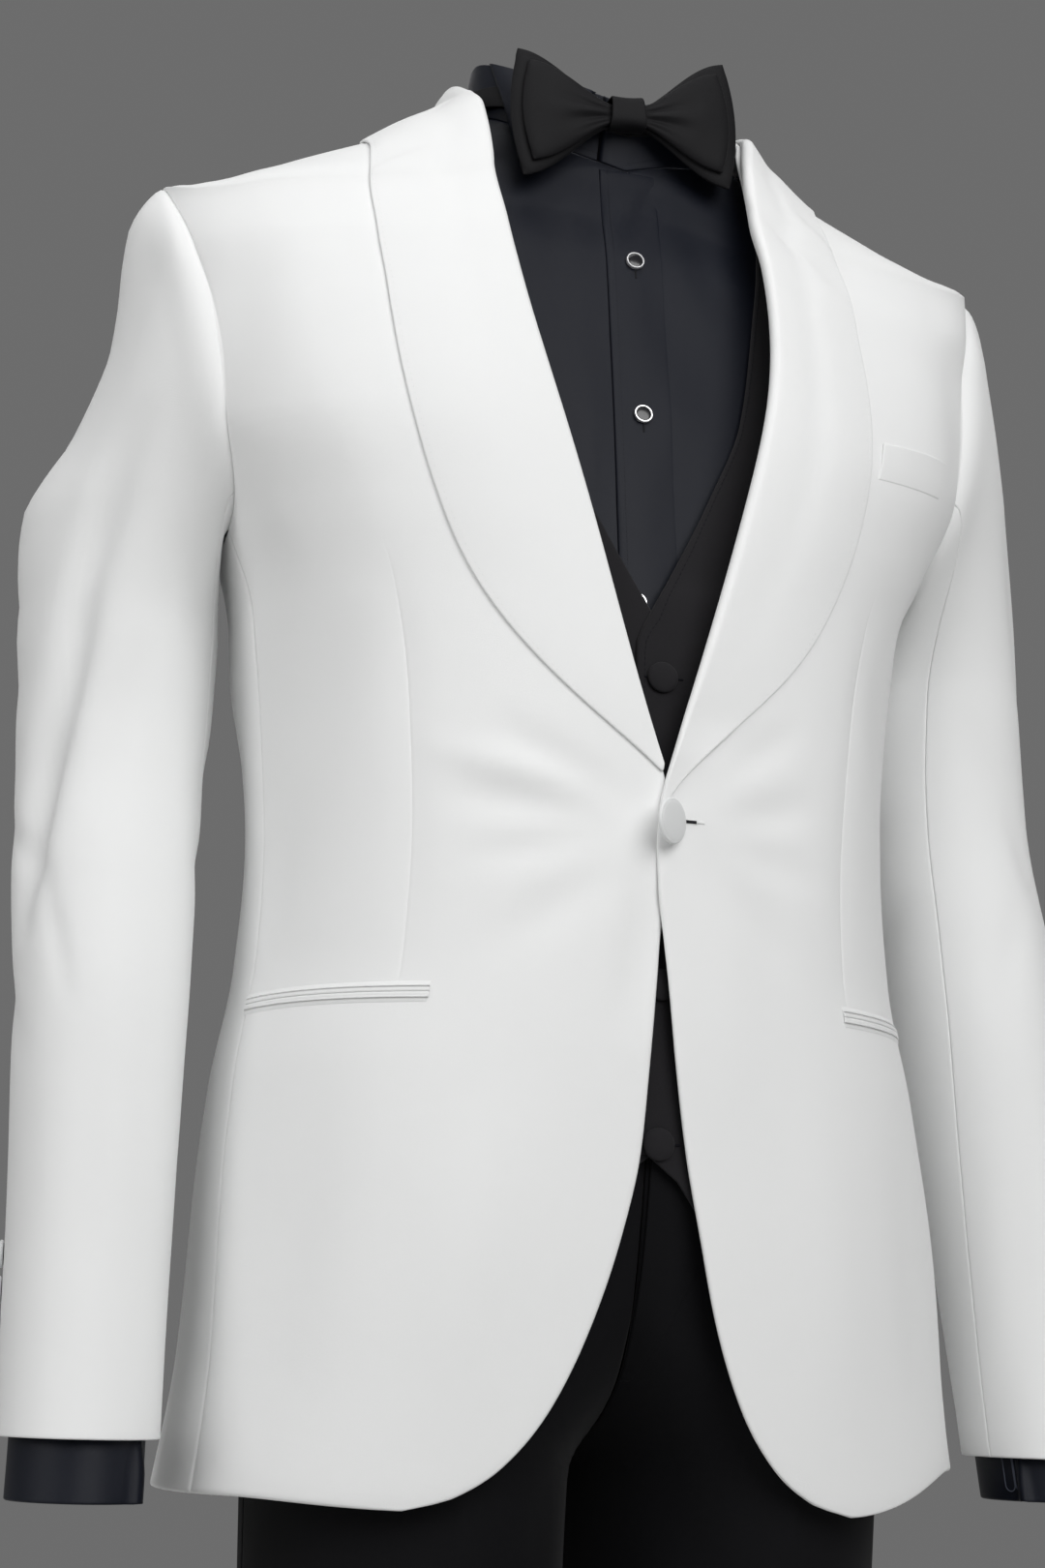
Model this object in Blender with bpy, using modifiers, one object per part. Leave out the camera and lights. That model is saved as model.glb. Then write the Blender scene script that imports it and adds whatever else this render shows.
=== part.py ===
"""A worn evening suit: white shawl-collar jacket, black waistcoat, dark shirt, bow tie and trousers.

Each garment hangs on a form: level sections whose sizes stand in a table, joined by smooth curves.
A cloth piece is the patch of its form between two seams, given a wall, and 0.3 mm from its neighbour.
Tables hold millimetres and degrees, and the meshes are in metres: +Z up, front towards -Y, the wearer's
left at +X. The origin is the middle of the neck, level with the shoulder seams' inner ends.
A "drop" is a distance below the origin. An angle round a form is 0 at the centre front and 90 at a side.
"""

import bmesh
import bpy
import numpy as np
from mathutils import Vector

MM = 0.001
SEAM_GAP = 0.3
FLY_WALL = 0.8
WAISTBAND = (503, 536.5)
WALLS = {"jacket": 2.0, "waistcoat": 1.5, "shirt": 1.0, "cuff": 2.4, "trousers": 1.5, "bow": 1.6}
SIDES = {"right": -1, "left": 1}

FINISHES = {  # colour, roughness, metallic
    "white wool": ((0.80, 0.81, 0.80), 0.75, 0.0),
    "white covered button": ((0.72, 0.73, 0.73), 0.6, 0.0),
    "black wool": ((0.018, 0.018, 0.022), 0.8, 0.0),
    "navy sateen": ((0.020, 0.024, 0.036), 0.45, 0.0),
    "charcoal grosgrain": ((0.030, 0.028, 0.033), 0.7, 0.0),
    "stud metal": ((0.55, 0.56, 0.58), 0.25, 1.0),
}


def table(columns, *rows):
    """Named columns of numbers."""
    return dict(zip(columns.split(), np.array(rows, float).T))


# Sections of the jacket and of the shirt: half width, then how far front, widest line and back lie
# along Y, then the squareness of the oval (2 is an ellipse).
JACKET = table(
    "drop half front side back square",
    (-34, 77, -58, 5, 72, 2.3), (-17, 80, -62, 6, 75, 2.3), (0, 86, -75, 8, 82, 2.5),
    (20, 128, -76, 8, 92, 2.2), (44, 186, -83, 10, 103, 2.15), (62, 229, -88, 11, 112, 2.1), (100, 230, -105, 11, 119, 2.6),
    (150, 228, -120, 12, 124, 2.8), (200, 219, -131, 12, 126, 2.8), (252, 197, -138, 12, 126, 2.6),
    (300, 181, -142, 12, 124, 2.4), (360, 174, -145, 12, 122, 2.3), (420, 171, -146, 12, 122, 2.3),
    (480, 175, -145.5, 13, 127, 2.3), (540, 186, -145, 14, 134, 2.4), (600, 193, -144, 15, 139, 2.5),
    (680, 198, -141, 15, 142, 2.6), (755, 210, -138, 15, 145, 2.6),
)
SHIRT = table(
    "drop half front side back square",
    (6, 75, -60, 3, 66, 2.1), (15, 93, -61, 4, 72, 2.1), (31, 128, -62, 6, 84, 2.1), (72, 206, -70, 8, 98, 2.1),
    (100, 205, -80, 8, 106, 2.4), (150, 196, -91, 10, 111, 2.6), (200, 180, -101, 10, 113, 2.6),
    (250, 164.5, -110, 10, 112, 2.5), (300, 157, -118, 10, 109, 2.4), (350, 151, -124, 10, 106, 2.3),
    (420, 147, -127, 10, 104, 2.3), (480, 148, -127, 10, 106, 2.3), (540, 152, -127, 10, 110, 2.3),
    (640, 158, -127, 10, 114, 2.3),
)
WAISTCOAT = table(
    "drop half front side back square",
    (4, 80.6, -65, 3, 72.6, 2.1), (10, 93, -66, 4, 78, 2.1), (24.3, 128, -67, 6, 91, 2.1),
    (65.3, 216, -75, 8, 107, 2.1), (100, 214, -86, 8, 114, 2.4), (150, 205, -97, 10, 119, 2.6),
    (200, 189, -107.5, 10, 121, 2.6), (250, 177, -116.5, 10, 120, 2.5), (300, 166, -124.5, 10, 117, 2.4),
    (350, 160, -130.5, 10, 114, 2.3), (420, 156, -133.5, 10, 112, 2.3), (480, 157, -134.5, 10, 114.5, 2.3),
    (505, 163, -136, 10, 119, 2.35), (560, 173, -136.5, 10, 128.5, 2.5), (640, 187, -137, 10, 142, 2.7),
)
# One trouser leg: where its section is centred, its half width, and front, side line and back along Y.
# Above the crotch the section runs past the centre plane, and the cloth stops there.
TROUSERS = table(
    "drop centre half front side back square",
    (500, 0, 158, -131.5, 10, 113, 2.3), (560, 12, 154, -133, 10, 120, 2.3),
    (620, 36, 134, -130, 11, 127, 2.2), (680, 64, 106, -126, 12, 128, 2.1),
    (735, 83, 81.5, -119, 12, 122, 2.0), (900, 92, 68, -100, 11, 103, 2.0),
    (1060, 98, 62, -88, 8, 88, 2.0), (1250, 103, 57, -80, 5, 84, 2.0),
    (1520, 108, 54, -77, 5, 82, 2.0),
)
# The suit hangs a little to the wearer's right, by these amounts at the sides, and lower on the left shoulder.
# Less than 0 is higher: the sleeve heads stand up at the shoulders' ends.
ASIDE = table(
    "drop left right",
    (0, 3, 4), (60, 1, 11), (100, 8, 9), (130, 12, 6), (200, 10, 3), (250, 9, 1.5), (300, 8, 3),
    (420, 6, 4.5), (520, 4, 3), (640, 1, 0), (700, 0, 0),
)
SHOULDERS = table(
    "x down",
    (-240, -4), (-231, -3), (-225, 3), (-216, 8), (-200, 10), (-183, 8.7), (-105, 7), (-80, 2), (-60, 0),
    (20, 0), (80, 15), (120, 20), (180, 20), (214, 13.5), (230, 5),
)
LOWERED = (60, 300)  # drops between which that fades out

# Sleeve sections below the armpit: centre along X and Y, half width and half depth, and its turn on the arm.
SLEEVE = table(
    "drop x y half depth twist",
    (300, 239, 61, 52, 70, 0), (340, 240, 59, 52, 66, 2), (380, 241, 52, 50, 62, 5), (440, 244, 32, 48, 58, 11),
    (500, 246, 13, 45, 55, 18), (560, 249, 1, 43, 53, 25), (640, 253, -14, 41, 50, 33),
    (722, 256, -33, 40, 48, 38), (760, 258, -42, 40, 48, 38),
)
# Long folds of each sleeve: from and to a drop and an angle from its outer side towards its front. Those of
# less than no depth stand out.
SLEEVE_FOLD_COLUMNS = "top bottom turn_top turn_bottom width depth"
SLEEVE_FOLDS = {
    "right": table(
        SLEEVE_FOLD_COLUMNS, (190, 360, 66, 47, 13, 5), (290, 480, 56, 0, 14, 6), (150, 330, -8, -14, 30, -8),
        (85, 235, 0, -4, 60, 12), (200, 285, -8, -12, 30, -6),
    ),
    "left": table(
        SLEEVE_FOLD_COLUMNS, (190, 440, 50, 4, 16, 5), (150, 330, -8, -14, 30, -8), (125, 310, 22, 14, 60, 4),
    ),
}

# Edges along X at a drop. The roll line folds the shawl collar back, and the fronts curve away below it.
ROLL_LINE = table(
    "drop left right",
    (0, 77, 79), (20, 72, 80), (60, 70.5, 80.5), (90, 71, 78.5), (120, 72.5, 77), (150, 71, 71.5),
    (184, 65.5, 61.5), (230, 54, 47.5), (272, 42, 35.5), (311, 30.5, 24.5), (342, 20.5, 15.5), (367, 12, 7),
    (391, 4, -1.5),
)
FRONT_EDGE = table(
    "drop left right",
    (391, 4, -1.5), (402, 0.5, -5), (414, -1.5, -9), (428, -2.2, -11), (444, -1.3, -10), (455, -0.5, -7),
    (472, 2, -2.2), (494, 5, -0.8), (535, 10, 2.2),
    (580, 17, 6), (620, 25.5, 14.5), (661, 35, 27.5), (701, 49.5, 46), (729, 68, 68), (745, 90, 92.5),
    (751, 112, 115),
)
WAISTCOAT_EDGE = table(
    "drop x",
    (4, 80), (60, 75), (121, 66), (191, 54), (242, 33), (283, 12), (310, -3), (325, -9), (400, -10), (640, -10),
)
WAISTCOAT_HEM = table("turn drop", (-2, 577), (0, 581), (7.5, 622), (21, 614), (60, 592), (90, 578), (180, 574))
SHIRT_NECK = table("drop x", (6, 75), (11, 72.5), (21, 61), (34, 37.5), (45, 0))
SHIRT_TAIL = 585
# The shawl collar from the button up: drop of its fold, drop and X of its outer edge, and its lift. Its fold
# lies on the front's free edge.
COLLAR_FRONT = {
    "right": (
        (390, 392, 0, 0.2), (375, 382, 11, 0.4), (350, 366, 32.5, 0.8), (315, 336, 67, 1.2), (270, 300, 94, 1.6),
        (220, 255, 112.5, 2), (165, 205, 126, 2), (110, 150, 131.5, 2), (65, 100, 135.5, 2), (30, 62, 131.5, 2.5),
    ),
    "left": (
        (412, 415, -0.6, 0.1), (400, 405, 3, 0.2), (388, 396, 10, 0.3), (375, 386, 18.5, 0.4), (350, 366, 39, 0.8),
        (315, 336, 72, 1.2), (270, 300, 98.5, 1.6), (220, 255, 118.5, 2), (165, 205, 129.5, 2), (110, 150, 134, 2),
        (65, 102, 130.5, 2), (30, 66, 121, 2.5),
    ),
}
# From the shoulder to the centre back: drop and angle of its fold and of its edge, and its lift.
COLLAR_SHOULDER = {
    "right": ((4, 60, 40, 46.5, 4), (-14, 74, 25, 68, 6)),
    "left": ((4, 60, 34, 44.5, 4), (-14, 74, 21.5, 63, 6)),
}
COLLAR_NECK = table(
    "fold_drop fold_turn edge_drop edge_turn lift",
    (-21, 92, 17, 98, 7), (-26, 125, 13, 127, 7), (-29, 155, 12, 154, 7), (-30, 180, 12, 180, 7),
)

# Armholes: top and bottom drop, and how far they reach each way from the side.
ARMHOLES = {"jacket": (62, 252, 24.0), "shirt": (73, 240, 20.0), "waistcoat": (38, 268, 36.0)}
ARMHOLE_TURNS = (0, 32, 63, 92, 120, 148, 169.5, 188, 207, 238, 270, 300, 330)
FRONT_SEAM_TURN, BACK_SEAM_TURN = 169.5, 207  # where the side panel meets the armhole
SLEEVE_START = 0.6
UPPER_SLEEVE = {"right": (11, 5), "left": (11, 4)}  # its first and last seam, counted in ARMHOLE_TURNS
SIDE_SEAM = table(
    "drop front back",
    (241, 86, 100), (330, 84, 101), (485, 80, 105), (600, 78, 107), (755, 73, 109),
)
HEM = 751
HEM_RISE = {"right": 4, "left": 22}  # the hem is carried higher on the left side
LOWER_DROPS = (751, 745, 730, 701, 655, 585, 505, 445, 391, 335, 285)
SHOULDER_DROPS = (43, 24, 9, 0.3)
LAPS = {"jacket": 2.6, "waistcoat": 2.2}  # how far the left front's edge is lifted over the right one
FACETS = 0.6  # what flat facets may stray from a form
FRONT_COLUMNS = (0, 0.1, 0.25, 0.42, 0.6, 0.8, 1)
BACK_COLUMNS, WHOLE_BACK_COLUMNS = 6, 9
COLLAR_GRID = (21, 4)  # stations along it, and points across
COLLAR_WALL = 1.6
HIP_POCKET = {"drop": 505, "first_column": 3, "width": 5.5}
JETTING = 1.2
BREAST_POCKET = {"inner": (31.5, 190, 214), "outer": (53.0, 188, 212)}

JACKET_BUTTON = {"drop": 418, "x": 1.5, "radius": 11.5, "height": 3.5, "tilt": 38}
WAISTCOAT_BUTTONS = {"drops": (341, 419, 497, 575), "x": 4, "radius": 8, "height": 2.6}
STUDS = {"drops": (103, 194, 300), "x": (1, 1, -6), "radius": 5, "height": 1.8}
SLEEVE_BUTTONS = {"drops": (634, 652, 670, 688), "column": 11.5, "radius": 7, "height": 2.6}

SHIRT_SLEEVE_INSET = 7.0
CUFF = {"top": 700.0, "hem": {"right": 752.0, "left": 744.0}, "opening": 100}
BAND_TOP = table("turn z", (0, -11), (50, 12), (90, 32), (180, 40))
BAND_TURNS = (-4, 354, 21)  # first, last, count
BAND_TOP_OVAL = (70, -71, -2, 66)  # half width, then front, middle and back along Y
STRAP_HEIGHT = table("turn z", (0, -20), (75, 2), (95, 9), (180, 20))
STRAP = {"half_height": 7, "stand_off": 1.2, "wall": 1.0}
WING = {"from": 15, "to": 73, "tip_width": 4, "fold": 1.8, "clear": 4.0, "outward": (0.35, -0.9, 0.25)}
WING_TIPS = {"right": (60, -72.5, -49), "left": (54, -72.5, -42)}
BOW = {"centre": (-5, -20.5), "tilt": 3.8, "bulge": 0.05}
BOW_LAYERS = {  # half length, half height at the end and at the knot, place along Y
    "bow_back_layer": (62, 36, 5.9, -79.8),
    "bow_front_layer": (56.5, 28.5, 5.4, -82.5),
}
KNOT = {"half_width": 9.5, "half_height": 8.0, "front": -87.0, "back": -71.9, "wall": 1.4}


def smooth(x, y, at):
    """A curve through the rows of two columns that stays between neighbouring values."""
    step = np.diff(x)
    slope = np.diff(y) / step
    agree = slope[:-1] * slope[1:] > 0
    total = np.where(agree, slope[:-1] + slope[1:], 1.0)
    inner = np.where(agree, 2 * slope[:-1] * slope[1:] / total, 0.0)
    tangent = np.concatenate([slope[:1], inner, slope[-1:]])
    at = np.clip(at, x[0], x[-1])
    i = np.clip(np.searchsorted(x, at, side="right") - 1, 0, len(step) - 1)
    u = (at - x[i]) / step[i]
    start = (1 + 2 * u) * (1 - u) ** 2 * y[i] + u * (1 - u) ** 2 * step[i] * tangent[i]
    return start + u * u * (3 - 2 * u) * y[i + 1] + u * u * (u - 1) * step[i] * tangent[i + 1]


def column(rows, name, at, key="drop"):
    return smooth(rows[key], rows[name], at)


def ramp(value, low, high):
    """0 below low, 1 above high, smooth between."""
    u = np.clip((value - low) / (high - low), 0, 1)
    return u * u * (3 - 2 * u)


def oval(turn, half, front, side, back, square):
    """X and Y of a section at an angle round it."""
    across, along = np.sin(np.radians(turn)), np.cos(np.radians(turn))
    reach = np.abs(along) ** (2 / square)
    x = half * np.sign(across) * np.abs(across) ** (2 / square)
    return x, side + np.where(along > 0, front - side, back - side) * reach


def on_form(rows, drop, turn):
    drop, turn = np.broadcast_arrays(np.asarray(drop, float), np.asarray(turn, float))
    sizes = (column(rows, name, drop) for name in ("half", "front", "side", "back", "square"))
    x, y = oval(turn, *sizes)
    return np.stack([x, y, -drop], -1)


def turn_at(rows, drop, x):
    """The angle round the front of a form at which X is reached."""
    share = np.clip(np.abs(x) / column(rows, "half", drop), 0, 1)
    return np.degrees(np.arcsin(share ** (column(rows, "square", drop) / 2))) * np.sign(x)


def jacket_surface(drop, turn):
    """The jacket's form, with the hem carried up at the sides."""
    drop, turn = np.broadcast_arrays(np.asarray(drop, float), np.asarray(turn, float))
    rise = np.where(turn > 0, HEM_RISE["left"], HEM_RISE["right"])
    around = ramp(np.abs(turn), 25, 62) * (1 - 0.6 * ramp(np.abs(turn), 110, 175))
    return on_form(JACKET, drop - rise * around * np.clip((drop - 505) / (HEM - 505), 0, 1) ** 2, turn)


def shirt_surface(drop, turn):
    return on_form(SHIRT, drop, turn)


def turn_of(rows, points):
    """The angle round a form nearest to each point."""
    half, front, side, back, square = (
        column(rows, name, -points[..., 2]) for name in ("half", "front", "side", "back", "square"))
    ahead = side - points[..., 1]
    along = np.sign(ahead) * np.abs(ahead / np.where(ahead > 0, side - front, back - side)) ** (square / 2)
    across = np.sign(points[..., 0]) * np.abs(points[..., 0] / half) ** (square / 2)
    return np.degrees(np.arctan2(across, along))


def normal_of(surface, drop, turn):
    """The outward unit normal of a surface of drop and angle."""
    down = surface(np.asarray(drop) + 1.0, turn) - surface(np.asarray(drop) - 1.0, turn)
    round_it = surface(drop, np.asarray(turn) + 0.5) - surface(drop, np.asarray(turn) - 0.5)
    normal = np.cross(down, round_it)
    return normal / np.linalg.norm(normal, axis=-1, keepdims=True)


def waistcoat_surface(drop, turn):
    return on_form(WAISTCOAT, drop, turn)


def grid_normals(grid, ring=False, towards=None):
    """Unit normals of a grid of points, out of a ring that closes along its second axis, or to one side."""
    wide = np.concatenate([grid[:, -1:], grid, grid[:, :1]], 1) if ring else grid
    normal = np.cross(np.gradient(wide, axis=0), np.gradient(wide, axis=1))
    normal /= np.linalg.norm(normal, axis=-1, keepdims=True)
    normal = normal[:, 1:-1] if ring else normal
    outward = grid - grid.mean(1, keepdims=True) if towards is None else np.asarray(towards)
    return normal * np.sign((normal * outward).sum(-1).mean())


def worn(points):
    """Where the points of a garment lie once it hangs on the wearer."""
    x, drop = points[..., 0], -points[..., 2]
    aside = np.where(x > 0, column(ASIDE, "left", drop), column(ASIDE, "right", drop))
    aside = aside * ramp(np.abs(x), 60, 160)
    down = column(SHOULDERS, "down", x, key="x") * (1 - ramp(drop, *LOWERED))
    return points - np.stack([aside, 0 * x, down], -1)


def eased(grid, ring):
    """The grid with its edges drawn in by half a seam gap."""
    grid = grid.copy()
    ends = [(0, 1), (-1, -2)]
    for edge, inside in ends:
        way = grid[inside] - grid[edge]
        grid[edge] += way / np.linalg.norm(way, axis=-1, keepdims=True) * SEAM_GAP / 2
    if not ring:
        for edge, inside in ends:
            way = grid[:, inside] - grid[:, edge]
            grid[:, edge] += way / np.linalg.norm(way, axis=-1, keepdims=True) * SEAM_GAP / 2
    return grid


def add_object(name, mesh, finish):
    colour, roughness, metallic = FINISHES[finish]
    material = bpy.data.materials.new(name)
    material.use_nodes = True
    shader = material.node_tree.nodes["Principled BSDF"]
    shader.inputs["Base Color"].default_value = (*colour, 1)
    shader.inputs["Roughness"].default_value = roughness
    shader.inputs["Metallic"].default_value = metallic
    mesh.materials.append(material)
    made = bpy.data.objects.new(name, mesh)
    SUIT.objects.link(made)
    return made


def cloth(name, outer, normals, wall, finish, ring=False, placed=worn):
    """A closed wall: the outer grid of points, the same grid set in along the normals, and rims between."""
    faces_of = (placed(eased(outer, ring)), placed(eased(outer - normals * wall, ring)))
    rows, cols = outer.shape[:2]
    bm = bmesh.new()
    out, back = ([[bm.verts.new(p * MM) for p in line] for line in grid] for grid in faces_of)
    last = cols if ring else cols - 1
    for i in range(rows - 1):
        for j in range(last):
            k = (j + 1) % cols
            for side in (out, back):
                bm.faces.new((side[i][j], side[i][k], side[i + 1][k], side[i + 1][j]))
    for i in (0, rows - 1):
        for j in range(last):
            k = (j + 1) % cols
            bm.faces.new((out[i][j], out[i][k], back[i][k], back[i][j]))
    if not ring:
        for j in (0, cols - 1):
            for i in range(rows - 1):
                bm.faces.new((out[i][j], out[i + 1][j], back[i + 1][j], back[i][j]))
    bmesh.ops.recalc_face_normals(bm, faces=bm.faces)
    mesh = bpy.data.meshes.new(name)
    bm.to_mesh(mesh)
    bm.free()
    mesh.shade_smooth()
    mesh.set_sharp_from_angle(angle=np.radians(40))
    return add_object(name, mesh, finish)


def panel(name, surface, drops, turns, wall, finish, lift=0.0):
    """Cloth on a garment's surface, at grids of drops and angles, lifted off it. Returns its outer grid."""
    normals = normal_of(surface, drops, turns)
    outer = surface(drops, turns) + normals * np.broadcast_to(lift, drops.shape)[..., None]
    cloth(name, outer, normals, wall, finish)
    return outer


def on_facets(grid, drop, across, along_columns=False):
    """The place on a faceted grid at a drop and at X, or at a count of columns, and the facet's normal."""
    heights = -grid[:, grid.shape[1] // 2, 2]
    order = np.sign(heights[-1] - heights[0])
    row = int(np.clip(np.searchsorted(heights * order, drop * order) - 1, 0, len(heights) - 2))
    share = (drop - heights[row]) / (heights[row + 1] - heights[row])
    line = grid[row] + (grid[row + 1] - grid[row]) * share
    if not along_columns:
        order = np.sign(line[-1, 0] - line[0, 0])
        col = int(np.clip(np.searchsorted(line[:, 0] * order, across * order) - 1, 0, len(line) - 2))
        part = (across - line[col, 0]) / (line[col + 1, 0] - line[col, 0])
    else:
        col, part = int(across), across % 1
    way = line[col + 1] - line[col]
    normal = np.cross(way, grid[row + 1, col] - grid[row, col])
    return line[col] + way * part, normal / np.linalg.norm(normal)


def button(name, size, place, normal, finish):
    """A turned button with a domed top, standing on the cloth."""
    radius, height = size["radius"] * MM, size["height"] * MM
    profile = [(0, height), (0.65 * radius, 0.9 * height), (radius, 0.4 * height), (0.85 * radius, 0), (0, 0)]
    mesh = bpy.data.meshes.new(name)
    mesh.from_pydata([(x, 0, z) for x, z in profile], [(i, i + 1) for i in range(len(profile) - 1)], [])
    made = add_object(name, mesh, finish)
    turned = made.modifiers.new("Turned", "SCREW")
    turned.axis = "Z"
    turned.steps = turned.render_steps = 10
    turned.use_merge_vertices = True
    turned.merge_threshold = 1e-5
    made.location = Vector(worn(place + normal * SEAM_GAP) * MM)
    made.rotation_euler = Vector(normal).to_track_quat("Z", "Y").to_euler()


def armhole(garment, turn):
    """Drop and angle round the form at a place on an armhole, from 0 at its top, by its front, to 360."""
    top, bottom, spread = ARMHOLES[garment]
    radians = np.radians(turn)
    return (top + bottom) / 2 - (bottom - top) / 2 * np.cos(radians), 90 - spread * np.sin(radians)


def between(first, last, shares):
    """Rows of values that run from one column of values to another, evenly or at given shares of the way."""
    share = np.linspace(0, 1, shares) if isinstance(shares, int) else np.asarray(shares)
    return np.asarray(first)[:, None] * (1 - share) + np.asarray(last)[:, None] * share


def jacket_rows(seam_turn, back):
    """Drops of a front or back panel's rows, and the angle of its outer seams."""
    seam_drop = armhole("jacket", seam_turn)[0]
    lower = HEM - (HEM - np.array(LOWER_DROPS, float)) * (HEM - seam_drop) / (HEM - 250.4)
    turns = [t for t in ARMHOLE_TURNS if (t >= seam_turn if back else t <= seam_turn)]
    turns = np.array(turns + [360.0] if back else turns[::-1], float)
    hole_drops, hole_sides = armhole("jacket", turns)
    drops = np.concatenate([lower, hole_drops, SHOULDER_DROPS])
    seam = column(SIDE_SEAM, "back" if back else "front", lower)
    return drops, np.concatenate([seam, hole_sides, np.full(len(SHOULDER_DROPS), 90.0)])


def front_edge_x(side, drops):
    """The front's free edge: the roll line above the button, the cut front below it."""
    below = drops >= ROLL_LINE["drop"][-1]
    return np.where(below, column(FRONT_EDGE, side, drops), column(ROLL_LINE, side, drops))


def jacket_front(side):
    drops, seam = jacket_rows(FRONT_SEAM_TURN, back=False)
    turns = between(turn_at(JACKET, drops, front_edge_x(side, drops)), seam, FRONT_COLUMNS)
    drops = np.repeat(drops[:, None], len(FRONT_COLUMNS), 1)
    lift = 0.0
    if side == "left":
        reach = 1 - ramp(np.abs(turns), 8, 20)
        lift = LAPS["jacket"] * reach * ramp(drops, 370, 391) * (1 - ramp(drops, 500, 600))
    turns = SIDES[side] * turns
    return panel(f"jacket_front_{side}", jacket_surface, drops, turns, WALLS["jacket"], "white wool", lift)


def drape(drops, turns):
    """The fullness that stands out behind the armpit."""
    return 9.0 * np.exp(-(((drops - 322) / 48) ** 2) - ((np.abs(turns) - 112) / 17) ** 2)


def jacket_side(side):
    holes = np.array([t for t in ARMHOLE_TURNS if FRONT_SEAM_TURN <= t <= BACK_SEAM_TURN])
    tops, top_turns = armhole("jacket", holes)
    rows = np.array(LOWER_DROPS + (250.4,), float)
    drops = HEM - (HEM - rows)[:, None] * (HEM - tops) / (HEM - 250.4)
    seams = column(SIDE_SEAM, "front", drops[:, 0]), column(SIDE_SEAM, "back", drops[:, -1])
    turns = between(*seams, len(holes))
    turns[-1] = top_turns
    panel(f"jacket_side_{side}", jacket_surface, drops, SIDES[side] * turns, WALLS["jacket"], "white wool",
          drape(drops, turns))


def jacket_back(side):
    drops, seam = jacket_rows(BACK_SEAM_TURN, back=True)
    turns = between(seam, np.full(len(drops), 180.0), BACK_COLUMNS)
    drops = np.repeat(drops[:, None], BACK_COLUMNS, 1)
    panel(f"jacket_back_{side}", jacket_surface, drops, SIDES[side] * turns, WALLS["jacket"], "white wool",
          drape(drops, turns))


def sleeve_section(drop, turn, shrink=0.0):
    """A point of the left sleeve below the armpit. Angles run from the outer side to the front."""
    x, y, half, depth = (column(SLEEVE, name, drop) for name in ("x", "y", "half", "depth"))
    angle = np.radians(turn + column(SLEEVE, "twist", drop))
    return np.stack([x + (half - shrink) * np.cos(angle), y - (depth - shrink) * np.sin(angle), -drop], -1)


def sleeve_cap(start, shares):
    """Curves that leave the armhole outwards and arrive downwards at the first level section."""
    turns = np.array(ARMHOLE_TURNS, float)
    end = sleeve_section(np.full(len(turns), SLEEVE["drop"][0]), turns)
    fall = (start[:, 2] - end[:, 2])[:, None]
    angle = np.radians(turns)[:, None]
    leave = fall * np.hstack([0.42 + 0 * angle, -0.12 * np.sin(angle), -0.3 + 0 * angle])
    arrive = fall * np.hstack([0.1 * np.cos(angle), 0.12 + 0 * angle, -1.05 + 0 * angle])
    for u in shares:
        curve = (1 + 2 * u) * (1 - u) ** 2 * start + u * (1 - u) ** 2 * leave
        yield curve + u * u * (3 - 2 * u) * end + u * u * (u - 1) * arrive


def folded(grid, normals, side):
    """The sleeve's long folds pressed into its surface."""
    drop = -grid[..., 2]
    turn = (np.array(ARMHOLE_TURNS, float) + 180) % 360 - 180
    clear = ramp(np.linalg.norm(grid - grid[0], axis=-1), 2, 45)
    for top, bottom, turn_top, turn_bottom, width, depth in zip(*SLEEVE_FOLDS[side].values()):
        along = np.clip((drop - top) / (bottom - top), 0, 1)
        centre = turn_top + (turn_bottom - turn_top) * along
        strength = np.exp(-(((turn - centre) / width) ** 2)) * np.sin(np.pi * along) * clear
        grid = grid - normals * (depth * strength)[..., None]
    return grid


def jacket_sleeve_grid(side):
    """One sleeve from its armhole to its hem, as on the left."""
    turns = np.array(ARMHOLE_TURNS, float)
    start = jacket_surface(*armhole("jacket", turns))
    drops = (300, 350, 400, 455, 530, 620, 722)
    sections = [sleeve_section(np.full(len(turns), float(drop)), turns) for drop in drops]
    grid = np.array([*sleeve_cap(start, (0.0, 0.1, 0.28, 0.5, 0.75)), *sections])
    grid = folded(grid, grid_normals(grid, ring=True), side)
    return set_off(grid)


def set_off(grid):
    """A sleeve's first ring, moved off the armhole's edge."""
    way = grid[1] - grid[0]
    grid[0] += SLEEVE_START * way / np.linalg.norm(way, axis=-1, keepdims=True)
    return grid


def jacket_sleeve(side):
    grid = jacket_sleeve_grid(side)
    normals = grid_normals(grid, ring=True)
    mirror = np.array([SIDES[side], 1, 1])
    back_seam, front_seam = UPPER_SLEEVE[side]
    count = len(ARMHOLE_TURNS)
    top, under = range(back_seam, count + front_seam + 1), range(front_seam, back_seam + 1)
    pieces = {"topsleeve": top, "undersleeve": under}
    for name, columns in pieces.items():
        pick = [j % count for j in columns]
        cloth(f"jacket_{name}_{side}", grid[:, pick] * mirror, normals[:, pick] * mirror,
              WALLS["jacket"], "white wool")
    for number, drop in enumerate(SLEEVE_BUTTONS["drops"], 1):
        place, normal = on_facets(grid, drop, SLEEVE_BUTTONS["column"], along_columns=True)
        outward = -1 if normal @ (place - grid[-1].mean(0)) < 0 else 1
        button(f"sleeve_button_{side}_{number}", SLEEVE_BUTTONS, place * mirror, normal * outward * mirror,
               "white covered button")


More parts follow.
